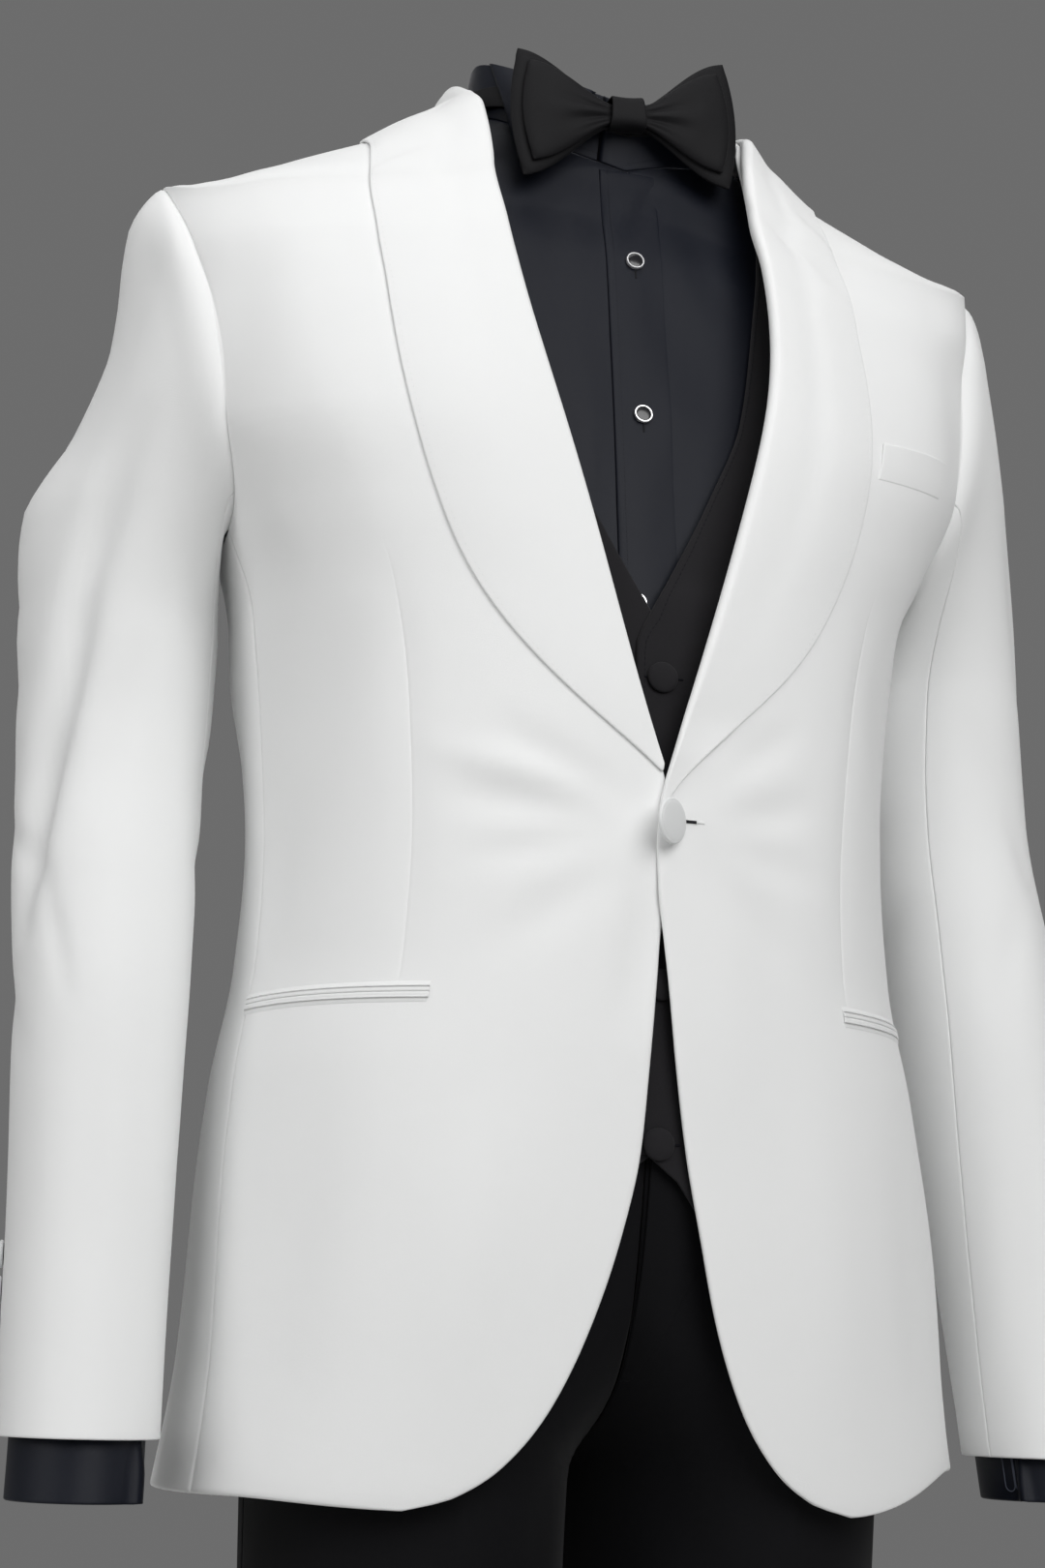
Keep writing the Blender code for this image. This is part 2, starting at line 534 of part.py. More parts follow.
def collar_lines(side, stations):
    """The collar's fold and edge, and its lift, at stations from the button to the centre back."""
    fold_drop, edge_drop, edge_x, lift = np.array(COLLAR_FRONT[side], float).T
    fold_turn = turn_at(JACKET, fold_drop, front_edge_x(side, fold_drop))
    front = fold_drop, fold_turn, edge_drop, turn_at(JACKET, edge_drop, edge_x), lift
    shoulder = np.array(COLLAR_SHOULDER[side], float).T
    columns = zip(COLLAR_NECK.items(), front, shoulder)
    lines = {name: np.concatenate([ahead, beside, neck]) for (name, neck), ahead, beside in columns}
    rows = np.arange(len(lines["lift"]), dtype=float)
    at = np.linspace(0, rows[-1], stations)
    found = {"lift": smooth(rows, lines["lift"], at)}
    for line in ("fold", "edge"):
        corners = on_form(JACKET, lines[f"{line}_drop"], lines[f"{line}_turn"])
        path = np.stack([smooth(rows, corners[:, axis], at) for axis in range(3)], -1)
        found[f"{line}_drop"], found[f"{line}_turn"] = -path[:, 2], turn_of(JACKET, path)
    return found


def shawl_collar(side):
    stations, points = COLLAR_GRID
    lines = collar_lines(side, stations)
    drops = between(lines["fold_drop"], lines["edge_drop"], points)
    turns = between(lines["fold_turn"], lines["edge_turn"], points)
    share = np.linspace(0, 1, points)
    lift = SEAM_GAP + 4 * FACETS + COLLAR_WALL + 4 * lines["lift"][:, None] * share * (1 - share)
    if side == "left":
        lift = lift + LAPS["jacket"] * ramp(drops, 360, 388)
    panel(f"shawl_collar_{side}", jacket_surface, drops, SIDES[side] * turns, COLLAR_WALL, "white wool", lift)


def under_collar():
    """The stand, from the neck seam up to the collar's fold, round the back of the neck."""
    turns = np.linspace(66, 294, 13)
    at = np.where(turns > 180, 360 - turns, turns)
    lines = collar_lines("right", 40)
    top = smooth(lines["fold_turn"][20:], lines["fold_drop"][20:], at) + 1
    drops = between(0 * top, np.minimum(top, -1.5), 3).T
    panel("under_collar", jacket_surface, drops, np.tile(turns, (3, 1)), WALLS["jacket"], "white wool")


def hip_pocket(side):
    """Two narrow jettings that lie on the front, on its own columns."""
    drop, width = HIP_POCKET["drop"], HIP_POCKET["width"]
    edge = turn_at(JACKET, drop, front_edge_x(side, np.array([float(drop)])))
    columns = between(edge, column(SIDE_SEAM, "front", np.array([float(drop)])), FRONT_COLUMNS)[0]
    turns = SIDES[side] * columns[HIP_POCKET["first_column"]:]
    for place, top in (("upper", drop - width), ("lower", drop)):
        drops = between((top, top + width), (top, top + width), len(turns))
        panel(f"hip_welt_{place}_{side}", jacket_surface, drops, np.tile(turns, (2, 1)), JETTING,
              "white wool", SEAM_GAP + FACETS + JETTING)


def breast_welt():
    (turn_in, top_in, low_in), (turn_out, top_out, low_out) = BREAST_POCKET.values()
    drops = between((top_in, low_in), (top_out, low_out), 4)
    turns = np.tile(np.linspace(turn_in, turn_out, 4), (2, 1))
    panel("breast_welt", jacket_surface, drops, turns, JETTING, "white wool", SEAM_GAP + JETTING + 0.6)


def front_button(name, size, grid, drop, x, finish):
    """A button on a front, facing forward. A tilted one stands on its rim on the left."""
    place, normal = on_facets(grid, drop, x)
    normal *= -np.sign(normal[1])
    tilt = np.radians(size.get("tilt", 0))
    away = np.array((-normal[1], normal[0], 0.0))
    place = place + normal * (size["radius"] - 1.5) * np.sin(tilt)
    button(name, size, place, normal * np.cos(tilt) + away * np.sin(tilt), finish)


def jacket():
    fronts = {}
    for side in SIDES:
        fronts[side] = jacket_front(side)
        jacket_side(side)
        jacket_back(side)
        jacket_sleeve(side)
        shawl_collar(side)
        hip_pocket(side)
    under_collar()
    breast_welt()
    place = JACKET_BUTTON["drop"], JACKET_BUTTON["x"]
    front_button("jacket_button", JACKET_BUTTON, fronts["left"], *place, "white covered button")


def body_rows(garment, lower, shoulder):
    """Drops of a front's or back's rows, and how far its side lies from 90 degrees."""
    holes = np.array((180, 144, 108, 72, 36, 0.0))
    hole_drops, hole_sides = armhole(garment, holes)
    inward = np.concatenate([np.zeros(len(lower)), 90 - hole_sides, np.zeros(len(shoulder))])
    return np.concatenate([lower, hole_drops, shoulder]).astype(float), inward


def waistcoat_front(side):
    drops, inward = body_rows("waistcoat", (640, 605, 565, 525, 470, 400, 325, 300), (24, 12, 4.5))
    edge = turn_at(WAISTCOAT, drops, column(WAISTCOAT_EDGE, "x", drops))
    turns = between(edge, 90 - inward, FRONT_COLUMNS)
    flat = np.repeat(drops[:, None], len(FRONT_COLUMNS), 1)
    hem = column(WAISTCOAT_HEM, "drop", turns, key="turn")
    hung = 540 + (flat - 540) / 100 * (hem - 540)
    drops = np.where(flat > 540, hung, flat)
    lift = 0.0
    if side == "left":
        lift = LAPS["waistcoat"] * (1 - ramp(turns, 8, 20)) * ramp(drops, 283, 300)
    turns = SIDES[side] * turns
    wall = WALLS["waistcoat"]
    return panel(f"waistcoat_front_{side}", waistcoat_surface, drops, turns, wall, "black wool", lift)


def waistcoat():
    fronts = {side: waistcoat_front(side) for side in SIDES}
    drops, inward = body_rows("waistcoat", (574, 525, 470, 400, 325, 300), (24, 12, 4.5))
    turns = between(90 + inward, 270 - inward, WHOLE_BACK_COLUMNS)
    panel("waistcoat_back", waistcoat_surface, np.repeat(drops[:, None], WHOLE_BACK_COLUMNS, 1), turns,
          WALLS["waistcoat"], "black wool")
    for number, drop in enumerate(WAISTCOAT_BUTTONS["drops"], 1):
        front_button(f"waistcoat_button_{number}", WAISTCOAT_BUTTONS, fronts["left"], drop,
                     WAISTCOAT_BUTTONS["x"], "black wool")


def shirt_body():
    drops, inward = body_rows("shirt", (SHIRT_TAIL, 520, 455, 390, 325, 275), (45, 34, 21, 12, 6))
    edge = turn_at(SHIRT, drops, column(SHIRT_NECK, "x", drops))
    turns = between(np.where(drops >= 45, 0.0, edge), 90 - inward, 7)
    turns[-1] = np.linspace(edge[-1] - 8, 90, 7)
    flat = np.repeat(drops[:, None], 7, 1)
    for side in SIDES:
        panel(f"shirt_front_{side}", shirt_surface, flat, SIDES[side] * turns, WALLS["shirt"], "navy sateen")
    turns = between(90 + inward, 270 - inward, WHOLE_BACK_COLUMNS)
    panel("shirt_back", shirt_surface, np.repeat(drops[:, None], WHOLE_BACK_COLUMNS, 1), turns,
          WALLS["shirt"], "navy sateen")
    drops = np.array((SHIRT_TAIL, 455, 390, 325, 275, 240, 190, 140, 90, 65, 45.5), float)
    edges = (turn_at(SHIRT, drops, np.full(len(drops), x)) for x in (-14.5, 18.0))
    placket = panel("shirt_placket", shirt_surface, np.repeat(drops[:, None], 3, 1), between(*edges, 3),
                    WALLS["shirt"], "navy sateen", SEAM_GAP + FACETS + WALLS["shirt"])
    for number, (drop, x) in enumerate(zip(STUDS["drops"], STUDS["x"]), 1):
        front_button(f"stud_{number}", STUDS, placket, drop, x, "stud metal")


def shirt_sleeves():
    """Sleeves that run inside the jacket's, and double cuffs whose ends meet at the front of the wrist."""
    turns = np.array(ARMHOLE_TURNS, float)
    start = shirt_surface(*armhole("shirt", turns))
    end = sleeve_section(np.full(len(turns), CUFF["top"]), turns, SHIRT_SLEEVE_INSET)
    around = np.linspace(CUFF["opening"], CUFF["opening"] + 360, 13)
    for side, sign in SIDES.items():
        mirror = np.array([sign, 1, 1])
        outside = jacket_sleeve_grid(side)
        inside = (outside - grid_normals(outside, ring=True) * SHIRT_SLEEVE_INSET)[[0, 1, 2, 3, 4, 5, 6, 8, 10]]
        grid = set_off(np.array([start, *inside, end]))
        drops = (CUFF["top"] + SEAM_GAP, CUFF["hem"][side])
        cuff = np.array([sleeve_section(np.full(13, drop), around, SHIRT_SLEEVE_INSET) for drop in drops])
        cloth(f"shirt_sleeve_{side}", grid * mirror, grid_normals(grid, ring=True) * mirror,
              WALLS["shirt"], "navy sateen", ring=True)
        outward = cuff - cuff.mean(1, keepdims=True)
        cloth(f"shirt_cuff_{side}", cuff * mirror, grid_normals(cuff, towards=outward) * mirror,
              WALLS["cuff"], "navy sateen")


def band_point(turns, share):
    """The collar band, from the shirt's neckline (share 0) to its top edge (share 1)."""
    from_front = np.abs((turns + 180) % 360 - 180)
    widest = SHIRT_NECK["x"][0]
    x = widest * np.sin(np.radians(turns))
    in_front = from_front < 90
    front_drop = smooth(SHIRT_NECK["x"][::-1], SHIRT_NECK["drop"][::-1], np.abs(x))
    drop = np.where(in_front, front_drop, SHIRT_NECK["drop"][0])
    low_turn = np.where(in_front, turn_at(SHIRT, drop, x), turns)
    low = shirt_surface(drop, low_turn) + np.array((0, 0, SEAM_GAP + FACETS * 1.35))
    x, y = oval(turns, *BAND_TOP_OVAL, 2.0)
    top = np.stack([x, y, smooth(BAND_TOP["turn"], BAND_TOP["z"], from_front)], -1)
    return low + (top - low) * np.asarray(share)[..., None]


def shirt_collar():
    turns = np.linspace(*BAND_TURNS)
    grid = np.array([band_point(turns, share) for share in (0.0, 0.5, 1.0)])
    outward = grid - grid.mean(1, keepdims=True)
    cloth("shirt_collar_band", grid, grid_normals(grid, towards=outward), WALLS["shirt"], "navy sateen")
    for side, sign in SIDES.items():
        hinge = band_point(np.linspace(WING["from"], WING["to"], 5), 1.0)
        across = np.linspace(-0.5, 0.5, 5)[:, None]
        tip = np.array(WING_TIPS[side]) + across * np.array((WING["tip_width"], WING["tip_width"] / 2, 0))
        rows = []
        for share in np.linspace(0, 1, 4):
            clear = WING["clear"] * np.sin(np.pi * min(share * 1.2, 1.0)) + WING["fold"]
            rows.append(hinge + (tip - hinge) * share + np.array(WING["outward"]) * clear)
        grid = np.array(rows) * np.array([sign, 1, 1])
        normals = grid_normals(grid, towards=(0, -1, 0))
        cloth(f"shirt_wing_{side}", grid, normals, WALLS["shirt"], "navy sateen")


def bow_point(x, z, y):
    """A point of the bow in its own upright plane, tilted about the knot."""
    tilt = np.radians(BOW["tilt"])
    place_x, place_z = BOW["centre"]
    turned_x = place_x + x * np.cos(tilt) - z * np.sin(tilt)
    return np.stack([turned_x, y + 0 * x, place_z + x * np.sin(tilt) + z * np.cos(tilt)], -1)


def bow_layer(name, half_length, end_height, knot_height, place):
    """Two spread wings in one strip of cloth, gathered in the knot and pleated along its length."""
    x = np.array((-1, -0.75, -0.5, -0.32, -0.16, 0, 0.16, 0.32, 0.5, 0.75, 1)) * half_length
    spread = ramp(np.abs(x), KNOT["half_width"], half_length) ** 0.8
    height = knot_height + (end_height - knot_height) * spread
    share = np.linspace(-1, 1, 7)[:, None]
    pleat = 0.8 * np.cos(share * 2.2 * np.pi) * (1 - spread) * ramp(np.abs(x), 7, 14)
    z = height * share
    grid = bow_point(x * (1 - BOW["bulge"] * share**2), z, place + pleat + 0 * z)
    normals = np.broadcast_to(np.array((0.0, -1.0, 0.0)), grid.shape)
    cloth(name, grid, normals, WALLS["bow"], "charcoal grosgrain", placed=np.array)


def bow_knot():
    """A tube of cloth round the middle of both layers."""
    angles = np.radians(np.arange(0, 360, 36))
    middle = (KNOT["front"] + KNOT["back"]) / 2
    deep = (KNOT["back"] - KNOT["front"]) / 2
    round_y = np.sign(np.cos(angles)) * np.abs(np.cos(angles)) ** 0.6 * deep
    round_z = np.sign(np.sin(angles)) * np.abs(np.sin(angles)) ** 0.6 * KNOT["half_height"]
    ends = (-KNOT["half_width"], 0.0, KNOT["half_width"])
    grid = np.array([bow_point(np.full(len(angles), x), round_z, middle - round_y) for x in ends])
    normals = grid_normals(grid, ring=True)
    cloth("bow_knot", grid, normals, KNOT["wall"], "charcoal grosgrain", ring=True, placed=np.array)


def bow_strap():
    """The strap, on the collar band all round the neck."""
    turns = np.linspace(*BAND_TURNS)
    centre = smooth(STRAP_HEIGHT["turn"], STRAP_HEIGHT["z"], np.abs((turns + 180) % 360 - 180))
    low, top = (band_point(turns, share)[:, 2] for share in (0.0, 1.0))
    rows = []
    for offset in (-STRAP["half_height"], STRAP["half_height"]):
        rows.append(band_point(turns, (centre + offset - low) / (top - low)))
    grid = np.array(rows)
    normals = grid_normals(grid, ring=True)
    cloth("bow_strap", grid + normals * (STRAP["stand_off"] + STRAP["wall"]), normals, STRAP["wall"],
          "charcoal grosgrain", ring=True)


def leg_surface(drop, turn):
    """The left trouser leg. Angles run from the outer side by the front to the inside leg."""
    drop, turn = np.broadcast_arrays(np.asarray(drop, float), np.asarray(turn, float))
    centre, half, front, side, back, square = (
        column(TROUSERS, name, drop) for name in ("centre", "half", "front", "side", "back", "square"))
    x, y = oval(90 - turn, half, front, side, back, square)
    return np.stack([centre + x, y, -drop], -1)


def leg_normals(drops, turns):
    """Angles run the other way round a leg than round a body, so the normal is turned."""
    return -normal_of(leg_surface, drops, turns)


def centre_turn(drops):
    """The angle at which a leg's section reaches the centre plane, 180 below the crotch."""
    centre, half, square = (column(TROUSERS, name, drops) for name in ("centre", "half", "square"))
    share = np.clip(centre / half, 0, 1) ** (square / 2)
    return 90 + np.degrees(np.arcsin(share))


def trousers():
    drops = np.array((537, 580, 625, 670, 710, 735, 790, 900, 1060, 1250, 1390, 1520), float)
    end = centre_turn(drops)
    crease = 3.0 * ramp(drops, 600, 760)
    flat = np.repeat(drops[:, None], 7, 1)
    ways = {"front": between(0 * end, end, 7), "back": between(360 - end, 0 * end + 360, 7)}
    for way, turns in ways.items():
        sharp = 90.0 if way == "front" else 270.0
        creased = np.arange(len(drops)), np.abs(turns - sharp).argmin(1)
        turns[creased] = np.where(drops > 600, sharp, turns[creased])
        lift = np.zeros(turns.shape)
        lift[creased] = crease
        grid = leg_surface(flat, turns)
        normals = leg_normals(flat, turns)
        grid = grid + normals * lift[..., None]
        for side, sign in SIDES.items():
            mirror = np.array([sign, 1, 1])
            cloth(f"trouser_{way}_{side}", grid * mirror, normals * mirror, WALLS["trousers"], "black wool")


def waistband():
    turns = np.linspace(0, 90, 7)
    rings = []
    for drop in WAISTBAND:
        front = leg_surface(np.full(7, float(drop)), turns)
        back = leg_surface(np.full(7, float(drop)), -turns)
        left = np.concatenate([back[::-1], front[1:]])
        rings.append(np.concatenate([left, (left * (-1, 1, 1))[-2:0:-1]]))
    grid = np.array(rings)
    normals = grid_normals(grid, ring=True)
    cloth("trouser_waistband", grid, normals, WALLS["trousers"], "black wool", ring=True)


def fly():
    drops = np.array((538, 580, 620, 660, 690), float)
    edge = centre_turn(drops) - 0.8
    turns = between(edge, edge - np.array((14, 14, 13, 9, 2.5)), 4)
    flat = np.repeat(drops[:, None], 4, 1)
    normals = leg_normals(flat, turns)
    lift = SEAM_GAP + FACETS + FLY_WALL
    cloth("trouser_fly", leg_surface(flat, turns) + normals * lift, normals, FLY_WALL, "black wool")


for old in list(bpy.data.objects):
    bpy.data.objects.remove(old)
SUIT = bpy.data.collections.new("tuxedo")
bpy.context.scene.collection.children.link(SUIT)

jacket()
waistcoat()
shirt_body()
shirt_sleeves()
shirt_collar()
for layer, layer_sizes in BOW_LAYERS.items():
    bow_layer(layer, *layer_sizes)
bow_knot()
bow_strap()
trousers()
waistband()
fly()
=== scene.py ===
"""A worn evening suit: dark dress shirt, black trousers and waistcoat, bow tie and white shawl-collar jacket.

The sections follow the order in which the suit is put on. Sizes are in millimetres and degrees, and every
mesh is placed in metres: +Z up, front towards -Y, the wearer's left at +X. The origin is the middle of the
neck, a "drop" is a distance below it, and an angle round the body is 0 at the centre front, 90 at a side.
"""

import bmesh
import bpy
import numpy as np
from mathutils import Matrix, Vector


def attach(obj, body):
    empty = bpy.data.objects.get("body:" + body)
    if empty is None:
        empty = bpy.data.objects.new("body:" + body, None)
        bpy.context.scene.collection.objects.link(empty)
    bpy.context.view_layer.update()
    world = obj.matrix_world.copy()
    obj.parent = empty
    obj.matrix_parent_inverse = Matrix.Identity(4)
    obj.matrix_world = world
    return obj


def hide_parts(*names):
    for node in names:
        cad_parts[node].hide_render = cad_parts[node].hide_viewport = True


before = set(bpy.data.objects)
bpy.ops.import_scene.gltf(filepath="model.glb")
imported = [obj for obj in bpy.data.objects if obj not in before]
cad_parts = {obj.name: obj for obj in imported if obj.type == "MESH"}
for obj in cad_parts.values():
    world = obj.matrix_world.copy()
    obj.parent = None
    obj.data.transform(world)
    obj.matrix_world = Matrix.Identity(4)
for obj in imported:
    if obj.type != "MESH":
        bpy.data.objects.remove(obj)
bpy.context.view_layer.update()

# ---------------------------------------------------------------------------------------------------------
# Shirt body. Cotton sateen, cut as two fronts and a back that meet at the sides, with a placket on the left
# front. It hangs on a form: level ovals whose sizes stand in a table, with smooth curves between them.

MM = 0.001
SIDES = {"right": -1, "left": 1}
FORM_COLUMNS = "drop half front side back square"
CREASE_COLUMNS = "drop_a across_a drop_b across_b width deep"
SHIRT_WALL = 1.0
SHIRT_DIP = 0.3  # how far its seams are sunk
SHIRT_TAIL = 585
SHIRT_NECK_DROP = 6
SHIRT_NECK_SIDE = 84.0  # the angle at which its fronts end beside the neck


def table(columns, *rows):
    """Named columns of numbers."""
    return dict(zip(columns.split(), np.array(rows, float).T))


# Sections: half width, then how far front, widest line and back lie along Y, then the oval's squareness.
SHIRT = table(
    FORM_COLUMNS,
    (6, 75, -60, 3, 66, 2.1), (15, 93, -61, 4, 72, 2.1), (31, 128, -62, 6, 84, 2.1),
    (72, 206, -70, 8, 98, 2.1), (100, 205, -80, 8, 106, 2.4), (150, 196, -91, 10, 111, 2.6),
    (200, 180, -101, 10, 113, 2.6), (250, 164.5, -110, 10, 112, 2.5), (300, 157, -118, 10, 109, 2.4),
    (350, 151, -124, 10, 106, 2.3), (420, 147, -127, 10, 104, 2.3), (480, 148, -127, 10, 106, 2.3),
    (540, 152, -127, 10, 110, 2.3), (640, 158, -127, 10, 114, 2.3),
)
# The suit hangs a little to the wearer's right, by these amounts at the sides, and lower on the left
# shoulder. Less than 0 is higher: the sleeve heads stand up at the shoulders' ends.
ASIDE = table(
    "drop left right",
    (0, 3, 4), (60, 1, 11), (100, 8, 9), (130, 12, 6), (200, 10, 3), (250, 9, 1.5), (300, 8, 3),
    (420, 6, 4.5), (520, 4, 3), (640, 1, 0), (700, 0, 0),
)
SHOULDERS = table(
    "x down",
    (-240, -4), (-231, -3), (-225, 3), (-216, 8), (-200, 10), (-183, 8.7), (-105, 7), (-80, 2), (-60, 0),
    (20, 0), (80, 15), (120, 20), (180, 20), (214, 13.5), (230, 5),
)
LOWERED = (60, 300)  # drops between which the lower shoulder fades out
SHIRT_NECK = table("drop x", (6, 75), (11, 72.5), (21, 61), (34, 37.5), (45, 0))
# Armholes: top and bottom drop, and how far they reach each way from the side.
ARMHOLES = {"jacket": (62, 252, 24.0), "shirt": (73, 240, 20.0), "waistcoat": (38, 268, 36.0)}
SHIRT_STEP = 6.0
SHIRT_WIDTHS = {"front": 250, "back": 500}  # about, as cut
ASIDE_FADES = (60, 160)  # from the centre, where what hangs aside fades out
EDGE_STEPS = np.array((0, 0.35, 0.9, 1.7, 2.8))  # how closely a cloth is sampled beside its cut edges
NARROWEST_CUT = 10.5
LEAST_AREA = 0.31  # of a cut, as a share of its width times its length
TINY = 1e-9


def smooth(x, y, at):
    """A curve through the rows of two columns that stays between neighbouring values."""
    step = np.diff(x)
    slope = np.diff(y) / step
    agree = slope[:-1] * slope[1:] > 0
    total = np.where(agree, slope[:-1] + slope[1:], 1.0)
    inner = np.where(agree, 2 * slope[:-1] * slope[1:] / total, 0.0)
    tangent = np.concatenate([slope[:1], inner, slope[-1:]])
    at = np.clip(at, x[0], x[-1])
    i = np.clip(np.searchsorted(x, at, side="right") - 1, 0, len(step) - 1)
    u = (at - x[i]) / step[i]
    start = (1 + 2 * u) * (1 - u) ** 2 * y[i] + u * (1 - u) ** 2 * step[i] * tangent[i]
    return start + u * u * (3 - 2 * u) * y[i + 1] + u * u * (u - 1) * step[i] * tangent[i + 1]


def column(rows, name, at, key="drop"):
    return smooth(rows[key], rows[name], at)


def ramp(value, low, high):
    """0 below low, 1 above high, smooth between."""
    u = np.clip((value - low) / (high - low), 0, 1)
    return u * u * (3 - 2 * u)


def oval(turn, half, front, side, back, square):
    """X and Y of a section at an angle round it."""
    across, along = np.sin(np.radians(turn)), np.cos(np.radians(turn))
    reach = np.abs(along) ** (2 / square)
    x = half * np.sign(across) * np.abs(across) ** (2 / square)
    return x, side + np.where(along > 0, front - side, back - side) * reach


def oval_sizes(rows, drop):
    """The numbers that an oval takes, at a drop of a form."""
    return [column(rows, name, drop) for name in FORM_COLUMNS.split()[1:]]


def on_form(rows, drop, turn):
    drop, turn = np.broadcast_arrays(np.asarray(drop, float), np.asarray(turn, float))
    x, y = oval(turn, *oval_sizes(rows, drop))
    return np.stack([x, y, -drop], -1)


def turn_at(rows, drop, x):
    """The angle round the front of a form at which X is reached."""
    share = np.clip(np.abs(x) / column(rows, "half", drop), 0, 1)
    return np.degrees(np.arcsin(share ** (column(rows, "square", drop) / 2))) * np.sign(x)


def normal_of(surface, drop, turn, step=0.5):
    """The outward unit normal of a surface of drop and angle."""
    down = surface(np.asarray(drop) + 1.0, turn) - surface(np.asarray(drop) - 1.0, turn)
    round_it = surface(drop, np.asarray(turn) + step) - surface(drop, np.asarray(turn) - step)
    normal = np.cross(down, round_it)
    return normal / np.linalg.norm(normal, axis=-1, keepdims=True)


def raised(surface, drops, turns, lift, facing=1):
    """Points that lie a lift above a surface, and the surface's normals there."""
    normals = facing * normal_of(surface, drops, turns)
    return surface(drops, turns) + normals * np.broadcast_to(lift, np.shape(drops))[..., None], normals


def sheet_normals(grid):
    """Unit normals of a grid of points, all on one side of it."""
    normal = np.cross(np.gradient(grid, axis=0), np.gradient(grid, axis=1))
    return normal / np.maximum(np.linalg.norm(normal, axis=-1, keepdims=True), TINY)


def grid_normals(grid, ring=False, towards=None):
    """Unit normals out of a ring that closes along its second axis, or towards a side."""
    wide = np.concatenate([grid[:, -1:], grid, grid[:, :1]], 1) if ring else grid
    normal = sheet_normals(wide)
    normal = normal[:, 1:-1] if ring else normal
    outward = grid - grid.mean(1, keepdims=True) if towards is None else np.asarray(towards)
    return normal * np.sign((normal * outward).sum(-1).mean())


def worn(points):
    """Where the points of a garment lie once it hangs on the wearer."""
    x, drop = points[..., 0], -points[..., 2]
    aside = np.where(x > 0, column(ASIDE, "left", drop), column(ASIDE, "right", drop))
    aside = aside * ramp(np.abs(x), *ASIDE_FADES)
    down = column(SHOULDERS, "down", x, key="x") * (1 - ramp(drop, *LOWERED))
    return points - np.stack([aside, 0 * x, down], -1)


def creased(along, across, rows):
    """Depths of soft troughs, or of ridges where negative, each between two points of a cloth."""
    depth = np.zeros(np.broadcast(along, across).shape)
    for drop_a, across_a, drop_b, across_b, width, deep in zip(*rows.values()):
        run = np.array((drop_b - drop_a, across_b - across_a))
        length = np.hypot(*run)
        ahead = ((along - drop_a) * run[0] + (across - across_a) * run[1]) / length**2
        aside = ((across - across_a) * run[0] - (along - drop_a) * run[1]) / length
        fade = np.sin(np.pi * np.clip(ahead, 0, 1)) ** 1.3
        depth = depth + deep * fade * np.exp(-((aside / width) ** 2))
    return depth


def close_steps(length, step):
    """Places along a cloth from 0 to its length, closer together beside both ends."""
    ends = EDGE_STEPS
    middle = np.linspace(ends[-1], length - ends[-1], max(3, round(length / step)))
    return np.concatenate([ends[:-1], middle, length - ends[-2::-1]])


def close_shares(length, step):
    """The same places as shares of that length."""
    return close_steps(length, step) / length


def form_rows(form, first, last, step, extra=()):
    """Drops that lie a step apart along the side of a form, with the extra ones among them."""
    fine = np.linspace(first, last, 800)
    line = np.stack([column(form, "half", fine), column(form, "front", fine), fine], -1)
    along = np.concatenate([[0], np.linalg.norm(np.diff(line, axis=0), axis=1).cumsum()])
    rows = np.sort(np.concatenate([np.interp(close_steps(along[-1], step), along, fine), extra]))
    rows = rows[np.concatenate([[True], np.diff(rows) > 0.2])]
    rows[-1] = last
    return rows


def hole_reach(garment, drop):
    """How far an armhole reaches from the side, in degrees, at a drop."""
    top, bottom, spread = ARMHOLES[garment]
    share = (drop - (top + bottom) / 2) / ((bottom - top) / 2)
    return spread * np.sqrt(np.clip(1 - share**2, 0, 1))


def hole_rows(garment):
    """Drops round an armhole, closer at its top and bottom."""
    top, bottom, _ = ARMHOLES[garment]
    return (top + bottom) / 2 - (bottom - top) / 2 * np.cos(np.linspace(0, np.pi, 33))


def between(first, last, shares):
    """Rows of values that run from one column of values to another."""
    return np.asarray(first)[:, None] * (1 - shares) + np.asarray(last)[:, None] * shares


def level(rows, turns):
    """The drops of a grid of angles whose rows lie level."""
    return np.repeat(rows[:, None], turns.shape[1], 1)


def arc_lengths(grid, axis):
    """Distances along the cloth from its first row or column."""
    steps = np.linalg.norm(np.diff(grid, axis=axis), axis=-1).cumsum(axis)
    return np.concatenate([np.zeros_like(np.take(steps, [0], axis)), steps], axis)


def in_scene(name, data):
    """A new object, put in the scene."""
    made = bpy.data.objects.new(name, data)
    bpy.context.scene.collection.objects.link(made)
    return made


